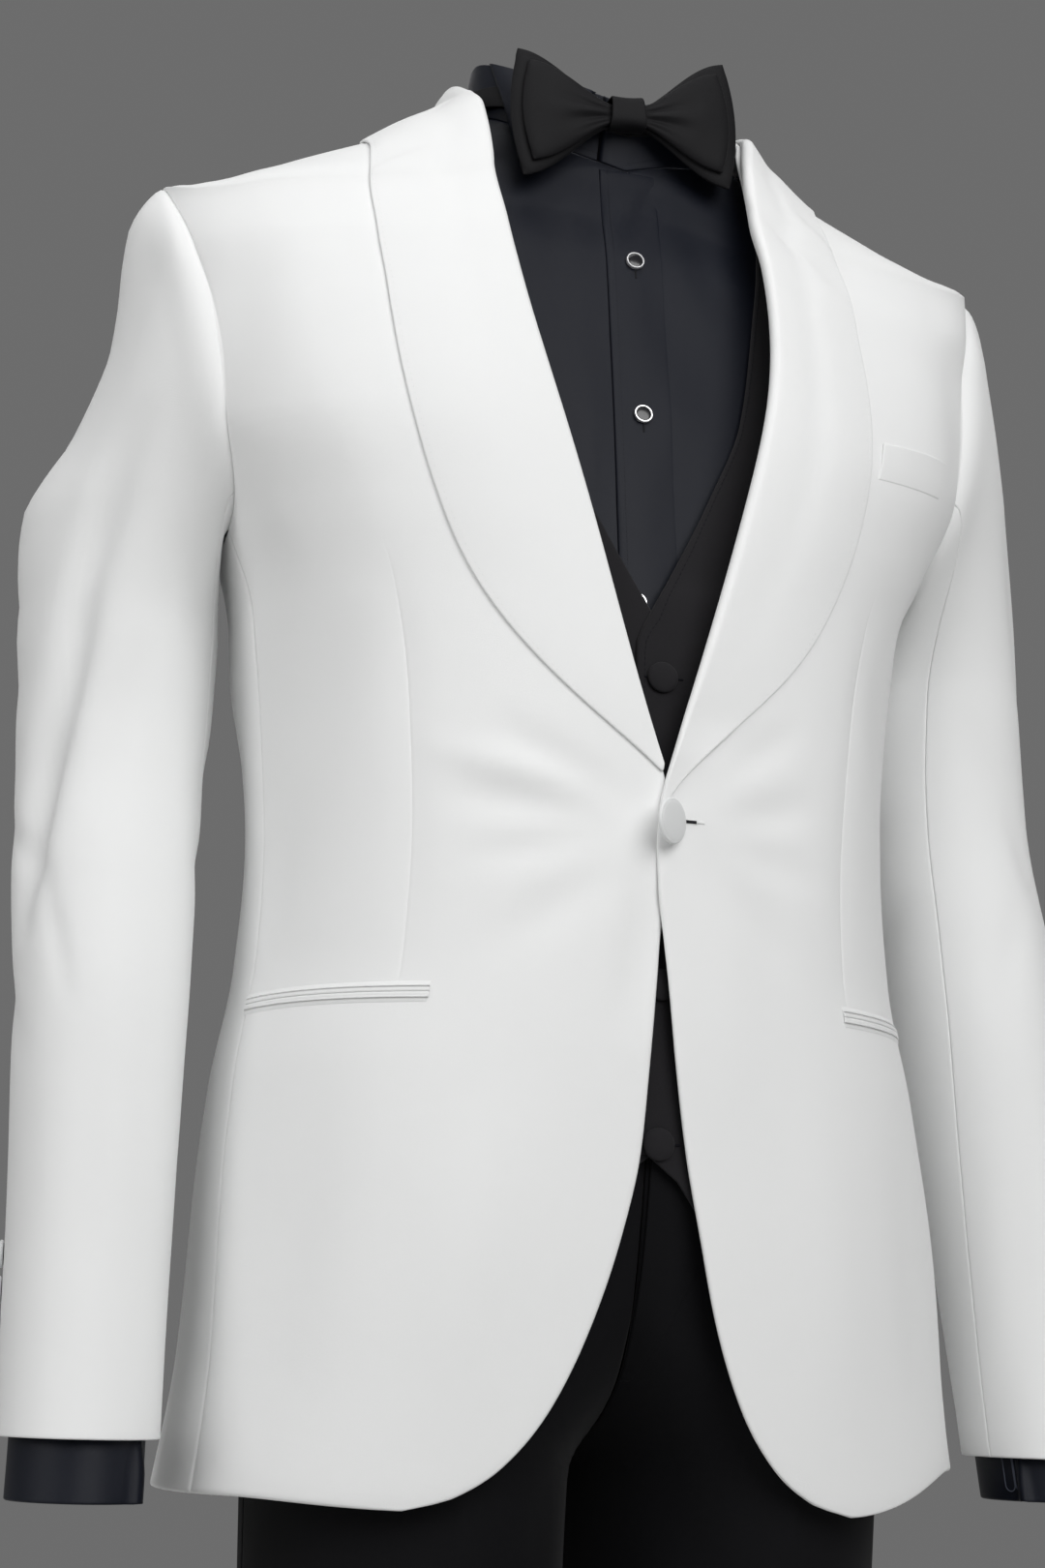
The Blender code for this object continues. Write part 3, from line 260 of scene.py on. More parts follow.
def shell(name, outer, normals, wall, material, ring=False, dip=0.0, placed=worn):
    """Cloth of a given wall under a grid of points. Its edges are rounded, and sunk by dip at a seam."""
    loop = np.concatenate([outer, outer[:, :1]], 1) if ring else outer
    down, across = arc_lengths(loop, 0), arc_lengths(loop, 1)
    rows, cols = outer.shape[:2]
    away = np.minimum(down, down[-1] - down)[:, :cols]
    if not ring:
        away = np.minimum(away, np.minimum(across, across[:, -1:] - across))
    blunt = 1 - np.sqrt(1 - np.clip(1 - away * 2 / wall, 0, 1) ** 2)
    sunk = dip * np.clip(1 - away / EDGE_STEPS[-1], 0, 1) ** 2
    face = placed(outer - normals * (sunk + wall / 2 * blunt)[..., None])
    back = placed(outer - normals * (sunk + wall - wall / 2 * blunt)[..., None])
    rim = away <= TINY
    face_ids = np.arange(rows * cols).reshape(rows, cols)
    back_ids = np.where(rim, face_ids, rows * cols + np.cumsum(~rim.ravel()).reshape(rows, cols) - 1)
    points = np.concatenate([face.reshape(-1, 3), back[~rim]]) * MM
    steps = np.arange(rows - 1), np.arange(cols if ring else cols - 1)
    i, j = (a.ravel() for a in np.meshgrid(*steps, indexing="ij"))
    k = (j + 1) % cols
    corners = ((i, j), (i + 1, j), (i + 1, k), (i, k))
    uv_corners = ((i, j), (i + 1, j), (i + 1, j + 1), (i, j + 1))
    quads = np.stack([face_ids[c] for c in corners], -1)
    inner = np.stack([back_ids[c] for c in corners], -1)[:, ::-1]
    uv = np.stack([np.stack([across[c], down[c]], -1) for c in uv_corners], 1) * MM
    uv_inner = uv[:, ::-1]
    middle = face.reshape(-1, 3)[quads]
    facing = np.cross(middle[:, 2] - middle[:, 0], middle[:, 3] - middle[:, 1])
    if (facing * normals[i, j]).sum() < 0:
        quads, inner, uv, uv_inner = quads[:, ::-1], inner[:, ::-1], uv[:, ::-1], uv_inner[:, ::-1]
    mesh = bpy.data.meshes.new(name)
    mesh.from_pydata(points.tolist(), [], np.concatenate([quads, inner]).tolist())
    layer = mesh.uv_layers.new(name="cloth")
    layer.data.foreach_set("uv", np.concatenate([uv, uv_inner]).astype(np.float32).ravel())
    mesh.shade_smooth()
    mesh.materials.append(material)
    return in_scene(name, mesh)


def cloth(name, node, slot, grid, normals, wall, ring=False, dip=0.0, placed=worn):
    """A cloth piece, fixed to the suit in place of its solid; the width, length and area it was cut to are
    worked out.
    """
    piece = shell(name, grid, normals, wall, fabrics[slot], ring, dip, placed)
    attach(piece, "root")
    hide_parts(node)
    loop = np.concatenate([grid, grid[:, :1]], 1) if ring else grid
    width = max(arc_lengths(loop, 1)[:, -1].max(), NARROWEST_CUT)
    length = max(arc_lengths(loop, 0)[-1].max(), NARROWEST_CUT)
    sides = loop[1:, 1:] - loop[:-1, :-1], loop[1:, :-1] - loop[:-1, 1:]
    area = np.linalg.norm(np.cross(*sides), axis=-1).sum() / 2
    area = np.clip(area, LEAST_AREA * width * length, width * length)


def panel(garment, name, node, drops, turns, lift, held="draped", **changes):
    """A piece of a garment, laid a lift above the garment's surface."""
    made = {**garment, **changes}
    grid, normals = raised(made["surface"], drops, turns, lift)
    cloth(name, node, made["slot"], grid, normals, made["wall"], dip=made["dip"])
    return grid, normals


def new_material(name, colour, roughness, **sockets):
    """A Principled material, its shader and a function that adds a node to it."""
    material = bpy.data.materials.new(name)
    material.use_nodes = True
    nodes, links = material.node_tree.nodes, material.node_tree.links
    shader = nodes["Principled BSDF"]
    shader.inputs["Base Color"].default_value = (*colour, 1)
    shader.inputs["Roughness"].default_value = roughness
    for socket, value in sockets.items():
        shader.inputs[socket.replace("_", " ")].default_value = value

    def add(kind, inputs=None, **settings):
        node = nodes.new(kind)
        for key, value in settings.items():
            setattr(node, key, value)
        for key, value in (inputs or {}).items():
            if isinstance(value, bpy.types.NodeSocket):
                links.new(value, node.inputs[key])
            else:
                node.inputs[key].default_value = value
        return node

    return material, shader, add, links


def woven(name, colour, roughness, thread, relief, shade=0.06, blotch=0.05, **sockets):
    """Cloth of crossing threads, thread apart in metres, a little uneven in colour and in height."""
    material, shader, add, links = new_material(name, colour, roughness, **sockets)

    def maths(operation, *values):
        return add("ShaderNodeMath", dict(enumerate(values)), operation=operation).outputs[0]

    uv = add("ShaderNodeUVMap", uv_map="cloth").outputs["UV"]
    split = add("ShaderNodeSeparateXYZ", {"Vector": uv}).outputs
    turns = 2 * np.pi / thread
    weave = maths("MULTIPLY", *(maths("SINE", maths("MULTIPLY", split[axis], turns)) for axis in ("X", "Y")))
    where = add("ShaderNodeTexCoord").outputs["Object"]
    slubs, patches = (
        add("ShaderNodeTexNoise", {"Vector": where, "Scale": scale, "Detail": detail}).outputs["Fac"]
        for scale, detail in ((900.0, 2.0), (14.0, 3.0))
    )
    height = maths("MULTIPLY_ADD", weave, 0.5, slubs)
    bump = add("ShaderNodeBump", {"Height": height, "Distance": relief, "Strength": 1.0})
    links.new(bump.outputs["Normal"], shader.inputs["Normal"])
    tone = maths("MULTIPLY_ADD", weave, shade / 2, 1.0)
    mottle = maths("MULTIPLY_ADD", patches, blotch, -blotch / 2)
    tint = maths("ADD", tone, mottle)
    mixed = add("ShaderNodeVectorMath", {0: colour, "Scale": tint}, operation="SCALE").outputs[0]
    links.new(mixed, shader.inputs["Base Color"])
    return material


fabrics = {}  # the cloth that fills each slot
fabrics["navy_sateen"] = woven(
    "navy_black_sateen", (0.0056, 0.0070, 0.0130), 0.46, thread=0.0004, relief=0.00003, blotch=0.12,
    Sheen_Weight=0.02, Sheen_Roughness=0.35, Specular_IOR_Level=0.19,
)

# Creases of the shirt front, in drops and millimetres from its centre: pulls down from the collar's tab,
# and soft hollows beside the placket.
SHIRT_CREASES = table(
    CREASE_COLUMNS,
    (38, 26, 98, -6, 6, 1.6), (45, -12, 112, -26, 5, 1.8), (52, 34, 130, 44, 9, 1.2),
    (60, -34, 150, -52, 10, 1.4), (96, 10, 190, 30, 14, 1.3), (150, -24, 260, -30, 9, -1.2),
    (120, 20, 300, 12, 12, -1.0), (190, 24, 285, 10, 12, 1.4), (200, -20, 330, -18, 8, 1.2),
    (260, 30, 330, 6, 10, 0.9), (45, -17, 350, -18.5, 2.6, 0.8),
)
BACK_CREASES = table(
    CREASE_COLUMNS,
    (120, 470, 330, 520, 22, 2.0), (150, 640, 400, 590, 26, 2.2), (380, 480, 560, 500, 18, 1.6),
    (400, 620, 570, 610, 16, -1.4),
)
MM_PER_DEGREE = 3.0  # round the body


def shirt_surface(drop, turn):
    return on_form(SHIRT, drop, turn)


def shirt_lift(drop, turn):
    x = shirt_surface(drop, turn)[..., 0]
    return -creased(drop, x, SHIRT_CREASES) * (np.abs(turn) < 90)


shirt = {"surface": shirt_surface, "slot": "navy_sateen", "wall": SHIRT_WALL, "dip": SHIRT_DIP}
shirt_rows = form_rows(SHIRT, SHIRT_NECK_DROP, SHIRT_TAIL, SHIRT_STEP, hole_rows("shirt"))
shirt_side = 90 - hole_reach("shirt", shirt_rows)
neck_turn = turn_at(SHIRT, shirt_rows, column(SHIRT_NECK, "x", shirt_rows))
inner_turn = np.where(shirt_rows >= SHIRT_NECK["drop"][-1], 0.0, np.minimum(neck_turn, SHIRT_NECK_SIDE))
turns = between(inner_turn, shirt_side, close_shares(SHIRT_WIDTHS["front"], SHIRT_STEP))
drops = level(shirt_rows, turns)
for side, sign in SIDES.items():
    lift = shirt_lift(drops, sign * turns)
    panel(shirt, f"shirt_front_cloth_{side}", f"shirt_front_{side}", drops, sign * turns, lift)
turns = between(180 - shirt_side, 180 + shirt_side, close_shares(SHIRT_WIDTHS["back"], SHIRT_STEP))
drops = level(shirt_rows, turns)
lift = -creased(drops, turns * MM_PER_DEGREE, BACK_CREASES)
panel(shirt, "shirt_back_cloth", "shirt_back", drops, turns, lift)

# ---------------------------------------------------------------------------------------------------------
# Placket, dress studs. The placket is a strip turned back on the left front and stitched along both sides;
# each stud is a black stone in a turned silver rim, pushed through a short buttonhole.

PLACKET_EDGES = (-14.5, 18.0)
PLACKET_TOP = 45.5
PLACKET_LIFT = (0.9, 0.12)  # at those edges: the first is a loose fold and the second is sewn flat
PLACKET_LOOSE = 14  # how far in from its first edge it begins to come down
STITCH_INSET = 4.5
STUDS = {"drops": (103, 194, 300), "x": (1, 1, -6)}
STUD = {"radius": 5.0, "height": 2.2, "rim": 0.8}
STUD_SIDES = 40
STUD_SLIT = {"from": 4.5, "to": 9.5, "aside": 0.4}  # the end of the buttonhole that shows below a stud
# Rows of threads, and the near-black rows that paint the shade in buttonhole slits: how far apart, how long
# and how thick they are.
STITCHES = {
    "placket": (2.6, 2.0, 0.3), "stud_hole": (0.45, 0.6, 1.1), "collar_band": (2.6, 1.8, 0.25),
    "cuff_loop": (0.6, 1.0, 0.7), "waistcoat_edge": (3.0, 2.2, 0.4), "waistcoat_hole": (0.5, 0.8, 1.4),
    "collar_pick": (3.6, 1.3, 0.3), "front_hole": (0.6, 0.9, 0.7), "front_slit": (0.5, 0.9, 1.9),
    "front_bar": (0.6, 0.9, 1.5),
}


def stitch_tree():
    """Threads laid end to end with gaps along the edges of a mesh, each a flattened ball."""
    tree = bpy.data.node_groups.new("stitch_row", "GeometryNodeTree")
    for title, way, kind in (
        ("Geometry", "INPUT", "Geometry"), ("Gap", "INPUT", "Float"), ("Length", "INPUT", "Float"),
        ("Thickness", "INPUT", "Float"), ("Thread", "INPUT", "Material"),
        ("Geometry", "OUTPUT", "Geometry"),
    ):
        tree.interface.new_socket(title, in_out=way, socket_type=f"NodeSocket{kind}")
    start, end, to_curve, resample, ball, size, tangent, align, place, realize, colour = (
        tree.nodes.new(kind) for kind in (
            "NodeGroupInput", "NodeGroupOutput", "GeometryNodeMeshToCurve", "GeometryNodeResampleCurve",
            "GeometryNodeMeshUVSphere", "ShaderNodeCombineXYZ", "GeometryNodeInputTangent",
            "FunctionNodeAlignRotationToVector", "GeometryNodeInstanceOnPoints",
            "GeometryNodeRealizeInstances", "GeometryNodeSetMaterial",
        )
    )
    resample.mode = "LENGTH"
    align.axis = "Z"
    for socket, value in (("Segments", 6), ("Rings", 4), ("Radius", 0.5)):
        ball.inputs[socket].default_value = value
    for source, output, target, socket in (
        (start, "Geometry", to_curve, "Mesh"), (to_curve, "Curve", resample, "Curve"),
        (start, "Gap", resample, "Length"), (resample, "Curve", place, "Points"),
        (ball, "Mesh", place, "Instance"), (tangent, "Tangent", align, "Vector"),
        (align, "Rotation", place, "Rotation"), (start, "Thickness", size, "X"),
        (start, "Thickness", size, "Y"), (start, "Length", size, "Z"), (size, "Vector", place, "Scale"),
        (place, "Instances", realize, "Geometry"), (realize, "Geometry", colour, "Geometry"),
        (start, "Thread", colour, "Material"), (colour, "Geometry", end, "Geometry"),
    ):
        tree.links.new(source.outputs[output], target.inputs[socket])
    return tree


stitch_row = stitch_tree()
black_thread, *_ = new_material("black_thread", (0.005, 0.005, 0.008), 0.85, Specular_IOR_Level=0.2)


def fixed(piece, slot, *nodes):
    """Fixes a hard piece to the suit."""
    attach(piece, "root")
    if nodes:
        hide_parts(*nodes)


def stitches(name, kind, path, thread, slot):
    """A row of threads along a path of points, laid by Geometry Nodes and fixed to the suit."""
    line = bpy.data.meshes.new(name)
    line.from_pydata((worn(path) * MM).tolist(), [(i, i + 1) for i in range(len(path) - 1)], [])
    made = in_scene(name, line)
    modifier = made.modifiers.new("Stitches", "NODES")
    modifier.node_group = stitch_row
    sizes = (size * MM for size in STITCHES[kind])
    settings = {"Thread": thread, **dict(zip(("Gap", "Length", "Thickness"), sizes))}
    for item in stitch_row.interface.items_tree:
        if item.name in settings:
            modifier[item.identifier] = settings[item.name]
    graph = bpy.context.evaluated_depsgraph_get()
    mesh = bpy.data.meshes.new_from_object(made.evaluated_get(graph))
    made.modifiers.clear()
    made.data = mesh
    mesh.shade_smooth()
    fixed(made, slot)


def turned(name, profile, place, normal, material, sides=STUD_SIDES, placed=worn):
    """A turned piece: a profile of radius and height above its place, spun about the normal there."""
    profile = np.array(profile, float)
    angle = np.linspace(0, 2 * np.pi, sides, endpoint=False)
    ring = np.stack([np.cos(angle), np.sin(angle)], -1)
    local = np.concatenate([np.concatenate([ring * r, np.full((sides, 1), h)], 1) for r, h in profile])
    turn = np.array(Vector(normal).to_track_quat("Z", "Y").to_matrix())
    points = placed(np.asarray(place, float)) + local @ turn.T
    faces = []
    for row in range(len(profile) - 1):
        for a in range(sides):
            b = (a + 1) % sides
            faces.append((row * sides + a, (row + 1) * sides + a, (row + 1) * sides + b, row * sides + b))
    mesh = bpy.data.meshes.new(name)
    mesh.from_pydata((points * MM).tolist(), [], faces)
    bm = bmesh.new()
    bm.from_mesh(mesh)
    bmesh.ops.remove_doubles(bm, verts=bm.verts, dist=1e-6)
    bmesh.ops.recalc_face_normals(bm, faces=bm.faces)
    bm.to_mesh(mesh)
    bm.free()
    mesh.shade_smooth()
    mesh.set_sharp_from_angle(angle=np.radians(50))
    mesh.materials.append(material)
    return in_scene(name, mesh)


def placket_lift(drops, x):
    """The placket's face above the shirt's form."""
    loose, flat = PLACKET_LIFT
    down = ramp(x, PLACKET_EDGES[0] + PLACKET_LOOSE, PLACKET_EDGES[1])
    return loose + (flat - loose) * down + shirt_lift(drops, turn_at(SHIRT, drops, x))


placket_drops = form_rows(SHIRT, PLACKET_TOP, SHIRT_TAIL, SHIRT_STEP)
edges = (turn_at(SHIRT, placket_drops, np.full(len(placket_drops), x)) for x in PLACKET_EDGES)
turns = between(*edges, close_shares(PLACKET_EDGES[1] - PLACKET_EDGES[0], 4.0))
drops = level(placket_drops, turns)
lift = placket_lift(drops, shirt_surface(drops, turns)[..., 0])
panel(shirt, "placket_cloth", "shirt_placket", drops, turns, lift)

x = np.full(len(placket_drops), PLACKET_EDGES[0] + STITCH_INSET)
lift = placket_lift(placket_drops, x) - 0.08
path, _ = raised(shirt_surface, placket_drops, turn_at(SHIRT, placket_drops, x), lift)
stitches("placket_stitches", "placket", path, black_thread, "navy_sateen")

rim_metal, *_ = new_material("stud_rim", (0.93, 0.93, 0.94), 0.3, Metallic=0.75)
stone_black, *_ = new_material("stud_stone", (0.008, 0.008, 0.010), 0.18, Coat_Weight=0.2, Coat_Roughness=0.1)
# The buttonholes' slits are drawn as rows of near-black balls: painted shade of the openings.
slit_shade, *_ = new_material("buttonhole_slit_shade", (0.006, 0.006, 0.009), 0.8)
r, h, lip = STUD["radius"], STUD["height"], STUD["radius"] - STUD["rim"]
rim = (
    (0, 0), (r * 0.94, 0), (r, 0.35 * h), (r, 0.75 * h), (r - 0.25, h), (lip, h), (lip - 0.15, 0.8 * h),
    (0, 0.8 * h),
)
stone = [((lip - 0.1) * np.cos(a), h * 0.78 + 0.5 * np.sin(a)) for a in np.linspace(0, np.pi / 2, 7)]
for number, (drop, x) in enumerate(zip(STUDS["drops"], STUDS["x"]), 1):
    lift = placket_lift(float(drop), float(x)) + 0.2
    place, normal = raised(shirt_surface, drop, turn_at(SHIRT, drop, x), lift)
    fixed(turned(f"stud_rim_{number}", rim, place, normal, rim_metal), "stud_onyx", f"stud_{number}")
    fixed(turned(f"stud_stone_{number}", stone, place, normal, stone_black), "stud_onyx")
    # The slit below the stud, in near-black: painted shade of the opening.
    below = drop + np.linspace(STUD_SLIT["from"], STUD_SLIT["to"], 6)
    slit_x = x + STUD_SLIT["aside"] + 0 * below
    slit = shirt_surface(below, turn_at(SHIRT, below, slit_x)) + normal * placket_lift(below, slit_x)[:, None]
    stitches(f"stud_buttonhole_{number}", "stud_hole", slit, slit_shade, "navy_sateen")

# ---------------------------------------------------------------------------------------------------------
# Shirt collar. A band stands up round the neck from the neckline; two small wings are its front corners
# pressed forward and down, so the bow's strap lies over the band and behind them.

BAND_TOP = table("turn z", (0, -11), (50, 12), (90, 32), (180, 40))
BAND_TURNS = (-12, 356)  # its ends lap over each other in front
BAND_LAP = 1.3  # how far the upper end stands out, and the angles between which it comes down
BAND_LAP_TURNS = (-8, 2)
BAND_TOP_OVAL = (70, -71, -2, 66)  # half width, then front, middle and back along Y
BAND_HEIGHT, BAND_WALL = 36, 1.2
BAND_SEAM = 0.12  # the share of its height at which it is stitched
WING = {"from": 15, "to": 73, "length": 60, "tip_width": 4, "fold": 1.8, "clear": 4.0, "bulge": 1.5}
WING_WALL = 1.4
WING_OUTWARD = np.array((0.35, -0.9, 0.25))
WING_TIPS = {"right": (60, -72.5, -49), "left": (54, -72.5, -42)}


def band_point(turns, share):
    """The collar band, from the shirt's neckline (share 0) to its top edge (share 1)."""
    from_front = np.abs((turns + 180) % 360 - 180)
    widest = SHIRT_NECK["x"][0]
    x = widest * np.sin(np.radians(turns))
    in_front = from_front < 90
    front_drop = smooth(SHIRT_NECK["x"][::-1], SHIRT_NECK["drop"][::-1], np.abs(x))
    drop = np.where(in_front, front_drop, SHIRT_NECK["drop"][0])
    low_turn = np.where(in_front, turn_at(SHIRT, drop, x), turns)
    low = shirt_surface(drop, low_turn) + np.array((0, 0, 0.3))
    x, y = oval(turns, *BAND_TOP_OVAL, 2.0)
    top = np.stack([x, y, smooth(BAND_TOP["turn"], BAND_TOP["z"], from_front)], -1)
    return low + (top - low) * np.asarray(share)[..., None]


band_turns = np.linspace(*BAND_TURNS, 150)
band = np.array([band_point(band_turns, share) for share in close_shares(BAND_HEIGHT, 4)])
band_outward = grid_normals(band)
band += band_outward * (BAND_LAP * (1 - ramp(band_turns, *BAND_LAP_TURNS)))[:, None]
cloth("collar_band_cloth", "shirt_collar_band", "navy_sateen", band, band_outward, BAND_WALL)
seam = band_point(band_turns, BAND_SEAM) + band_outward[2] * 0.05
stitches("collar_band_stitches", "collar_band", seam, black_thread, "navy_sateen")

for side, sign in SIDES.items():
    hinge = band_point(np.linspace(WING["from"], WING["to"], 26), 1.0)
    across = np.linspace(-0.5, 0.5, 26)[:, None]
    tip = np.array(WING_TIPS[side]) + across * np.array((WING["tip_width"], WING["tip_width"] / 2, 0))
    rows = []
    for share in close_shares(WING["length"], 3):
        clear = WING["clear"] * np.sin(np.pi * min(share * 1.2, 1.0)) + WING["fold"]
        bulge = WING["bulge"] * np.sin(np.pi * share) * (1 - (2 * across) ** 2)
        rows.append(hinge + (tip - hinge) * share + WING_OUTWARD * (clear + bulge))
    grid = np.array(rows) * (sign, 1, 1)
    normals = grid_normals(grid, towards=(0, -1, 0))
    cloth(f"wing_cloth_{side}", f"shirt_wing_{side}", "navy_sateen", grid, normals, WING_WALL)

# ---------------------------------------------------------------------------------------------------------
# Shirt sleeves and double cuffs. The sleeves run inside the jacket's, so both follow one arm: tube sections
# from the armhole down to the wrist. Each cuff is turned back on itself, with its ends brought together.

SLEEVE = table(
    "drop x y half depth twist",
    (300, 239, 61, 52, 70, 0), (340, 240, 59, 52, 66, 2), (380, 241, 52, 50, 62, 5),
    (440, 244, 32, 48, 58, 11), (500, 246, 13, 45, 55, 18), (560, 249, 1, 43, 53, 25),
    (640, 253, -14, 41, 50, 33), (722, 256, -33, 40, 48, 38), (760, 258, -42, 40, 48, 38),
)
JACKET = table(
    FORM_COLUMNS,
    (-34, 77, -58, 5, 72, 2.3), (-17, 80, -62, 6, 75, 2.3), (0, 86, -75, 8, 82, 2.5),
    (20, 128, -76, 8, 92, 2.2), (44, 186, -83, 10, 103, 2.15), (62, 229, -88, 11, 112, 2.1),
    (100, 230, -105, 11, 119, 2.6), (150, 228, -120, 12, 124, 2.8), (200, 219, -131, 12, 126, 2.8),
    (252, 197, -138, 12, 126, 2.6), (300, 181, -142, 12, 124, 2.4), (360, 174, -145, 12, 122, 2.3),
    (420, 171, -146, 12, 122, 2.3), (480, 175, -145.5, 13, 127, 2.3), (540, 186, -145, 14, 134, 2.4),
    (600, 193, -144, 15, 139, 2.5), (680, 198, -141, 15, 142, 2.6), (755, 210, -138, 15, 145, 2.6),
)
HEM = 751
HEM_RISE = {"right": 4, "left": 22}  # the jacket's hem is carried higher on the left side
HEM_RISE_FROM = 505
HEM_RISE_TURNS = ((25, 62), (110, 175))  # between the first it grows, between the others some of it goes
# Long folds of each sleeve: from and to a drop and an angle from its outer side towards its front. Those of
# less than no depth stand out.
SLEEVE_FOLD_COLUMNS = "top bottom turn_top turn_bottom width depth"
SLEEVE_FOLDS = {
    "right": table(
        SLEEVE_FOLD_COLUMNS, (190, 360, 66, 47, 13, 6), (290, 480, 56, 0, 14, 8), (150, 330, -8, -14, 30, -8),
        (85, 235, 0, -4, 60, 12), (200, 285, -8, -12, 30, -6),
    ),
    "left": table(
        SLEEVE_FOLD_COLUMNS, (190, 440, 50, 4, 16, 5), (150, 330, -8, -14, 30, -8), (125, 310, 22, 14, 60, 4),
    ),
}
ARM_TURNS = 96
SEAM_ALLOWANCE = {"drop": 7, "turn": 2.3, "sunk": 2.8}  # of a sleeve, turned in under the body's cloth
SLEEVE_SUNK = 0.7  # at the armhole's edge
CAP_LENGTH = 190  # of a sleeve's head, from the armhole to the first level section
CAP_LEAVES = (0.42, -0.12, -0.3)  # its way off the armhole, in shares of its fall
CAP_ARRIVES = (0.1, 0.12, -1.05)  # its way into the sleeve
FOLDS_BEGIN = (8, 50)  # from the armhole
SHIRT_SLEEVE_INSET = 7.0  # from the jacket's sleeve
SHIRT_SLEEVE_ROW = 16  # of the jacket's sleeve, from which the shirt's follows it
CUFF = {"top": 700.0, "hem": {"right": 752.0, "left": 744.0}, "opening": 100, "wall": 0.9}
CUFF_GAP = 2.2  # between its two layers
CUFF_FLARE = 6.0  # how far its ends turn outwards, over some degrees and more and more downwards
CUFF_FLARE_TURN, CUFF_FLARE_DROPS = 9, (705, 740)
CUFF_LOOPS = {"turns": (112, 102), "half_turn": 4.5, "top": 722, "bottom": 736, "sag": 3, "clear": 0.9}


def jacket_surface(drop, turn):
    """The jacket's form, with the hem carried up at the sides."""
    drop, turn = np.broadcast_arrays(np.asarray(drop, float), np.asarray(turn, float))
    rise = np.where(turn > 0, HEM_RISE["left"], HEM_RISE["right"])
    grows, goes = (ramp(np.abs(turn), *turns) for turns in HEM_RISE_TURNS)
    low = np.clip((drop - HEM_RISE_FROM) / (HEM - HEM_RISE_FROM), 0, 1)
    return on_form(JACKET, drop - rise * (grows * (1 - 0.6 * goes)) * low**2, turn)


def armhole(garment, turn, wider=0.0, deeper=0.0):
    """Drop and angle round the form at a place on an armhole, from 0 at its top, by its front, to 360.

    The place can lie outside the armhole, wider by some degrees and deeper by some millimetres.
    """
    top, bottom, spread = ARMHOLES[garment]
    radians = np.radians(turn)
    half = (bottom - top) / 2 + deeper
    return (top + bottom) / 2 - half * np.cos(radians), 90 - (spread + wider) * np.sin(radians)


def sleeve_section(drop, turn, shrink=0.0):
    """A point of the left sleeve below the armpit. Angles run from the outer side to the front."""
    x, y, half, depth = (column(SLEEVE, name, drop) for name in ("x", "y", "half", "depth"))
    angle = np.radians(turn + column(SLEEVE, "twist", drop))
    return np.stack([x + (half - shrink) * np.cos(angle), y - (depth - shrink) * np.sin(angle), -drop], -1)


def sleeve_cap(start, turns, shares):
    """Curves that leave the armhole outwards and arrive downwards at the first level section."""
    end = sleeve_section(np.full(len(turns), SLEEVE["drop"][0]), turns)
    fall = (start[:, 2] - end[:, 2])[:, None]
    angle, one = np.radians(turns)[:, None], np.ones((len(turns), 1))
    leave = fall * (np.hstack([one, np.sin(angle), one]) * CAP_LEAVES)
    arrive = fall * (np.hstack([np.cos(angle), one, one]) * CAP_ARRIVES)
    for u in shares:
        curve = (1 + 2 * u) * (1 - u) ** 2 * start + u * (1 - u) ** 2 * leave
        yield curve + u * u * (3 - 2 * u) * end + u * u * (u - 1) * arrive


def folded(grid, normals, turns, side):
    """The sleeve's long folds pressed into its surface."""
    drop, turn = -grid[..., 2], (turns + 180) % 360 - 180
    clear = ramp(np.linalg.norm(grid - grid[0], axis=-1), *FOLDS_BEGIN)
    for top, bottom, turn_top, turn_bottom, width, depth in zip(*SLEEVE_FOLDS[side].values()):
        along = np.clip((drop - top) / (bottom - top), 0, 1)
        centre = turn_top + (turn_bottom - turn_top) * along
        strength = np.exp(-(((turn - centre) / width) ** 2)) * np.sin(np.pi * along) * clear
        grid = grid - normals * (depth * strength)[..., None]
    return grid


def arm_grid(side, turns, hem, step):
    """One sleeve from its armhole to its hem, as on the left, at the given angles round it."""
    start, _ = raised(jacket_surface, *armhole("jacket", turns), -SLEEVE_SUNK)
    wider = armhole("jacket", turns, SEAM_ALLOWANCE["turn"], SEAM_ALLOWANCE["drop"])
    under, _ = raised(jacket_surface, *wider, -SEAM_ALLOWANCE["sunk"])
    allowance = [under + (start - under) * share for share in (0, 0.25, 0.5, 0.75)]
    shares = np.concatenate([EDGE_STEPS[:-1] / CAP_LENGTH, np.linspace(0.02, 0.97, 34)])
    first = SLEEVE["drop"][0]
    below = first + close_steps(hem - first, step)[len(EDGE_STEPS) - 1:]
    sections = [sleeve_section(np.full(len(turns), drop), turns) for drop in below]
    grid = np.array(allowance + list(sleeve_cap(start, turns, shares)) + sections)
    return folded(grid, grid_normals(grid), turns, side)


arm_turns = np.linspace(0, 360, ARM_TURNS, endpoint=False)
start = shirt_surface(*armhole("shirt", arm_turns))
for side, sign in SIDES.items():
    mirror = (sign, 1, 1)
    arm = arm_grid(side, arm_turns, CUFF["top"], 9.0)
    arm = arm - grid_normals(arm, ring=True) * SHIRT_SLEEVE_INSET
    arm = np.concatenate([start[None], arm[SHIRT_SLEEVE_ROW:]])
    cloth(f"shirt_sleeve_cloth_{side}", f"shirt_sleeve_{side}", "navy_sateen", arm * mirror,
          grid_normals(arm, ring=True) * mirror, SHIRT_WALL, ring=True)

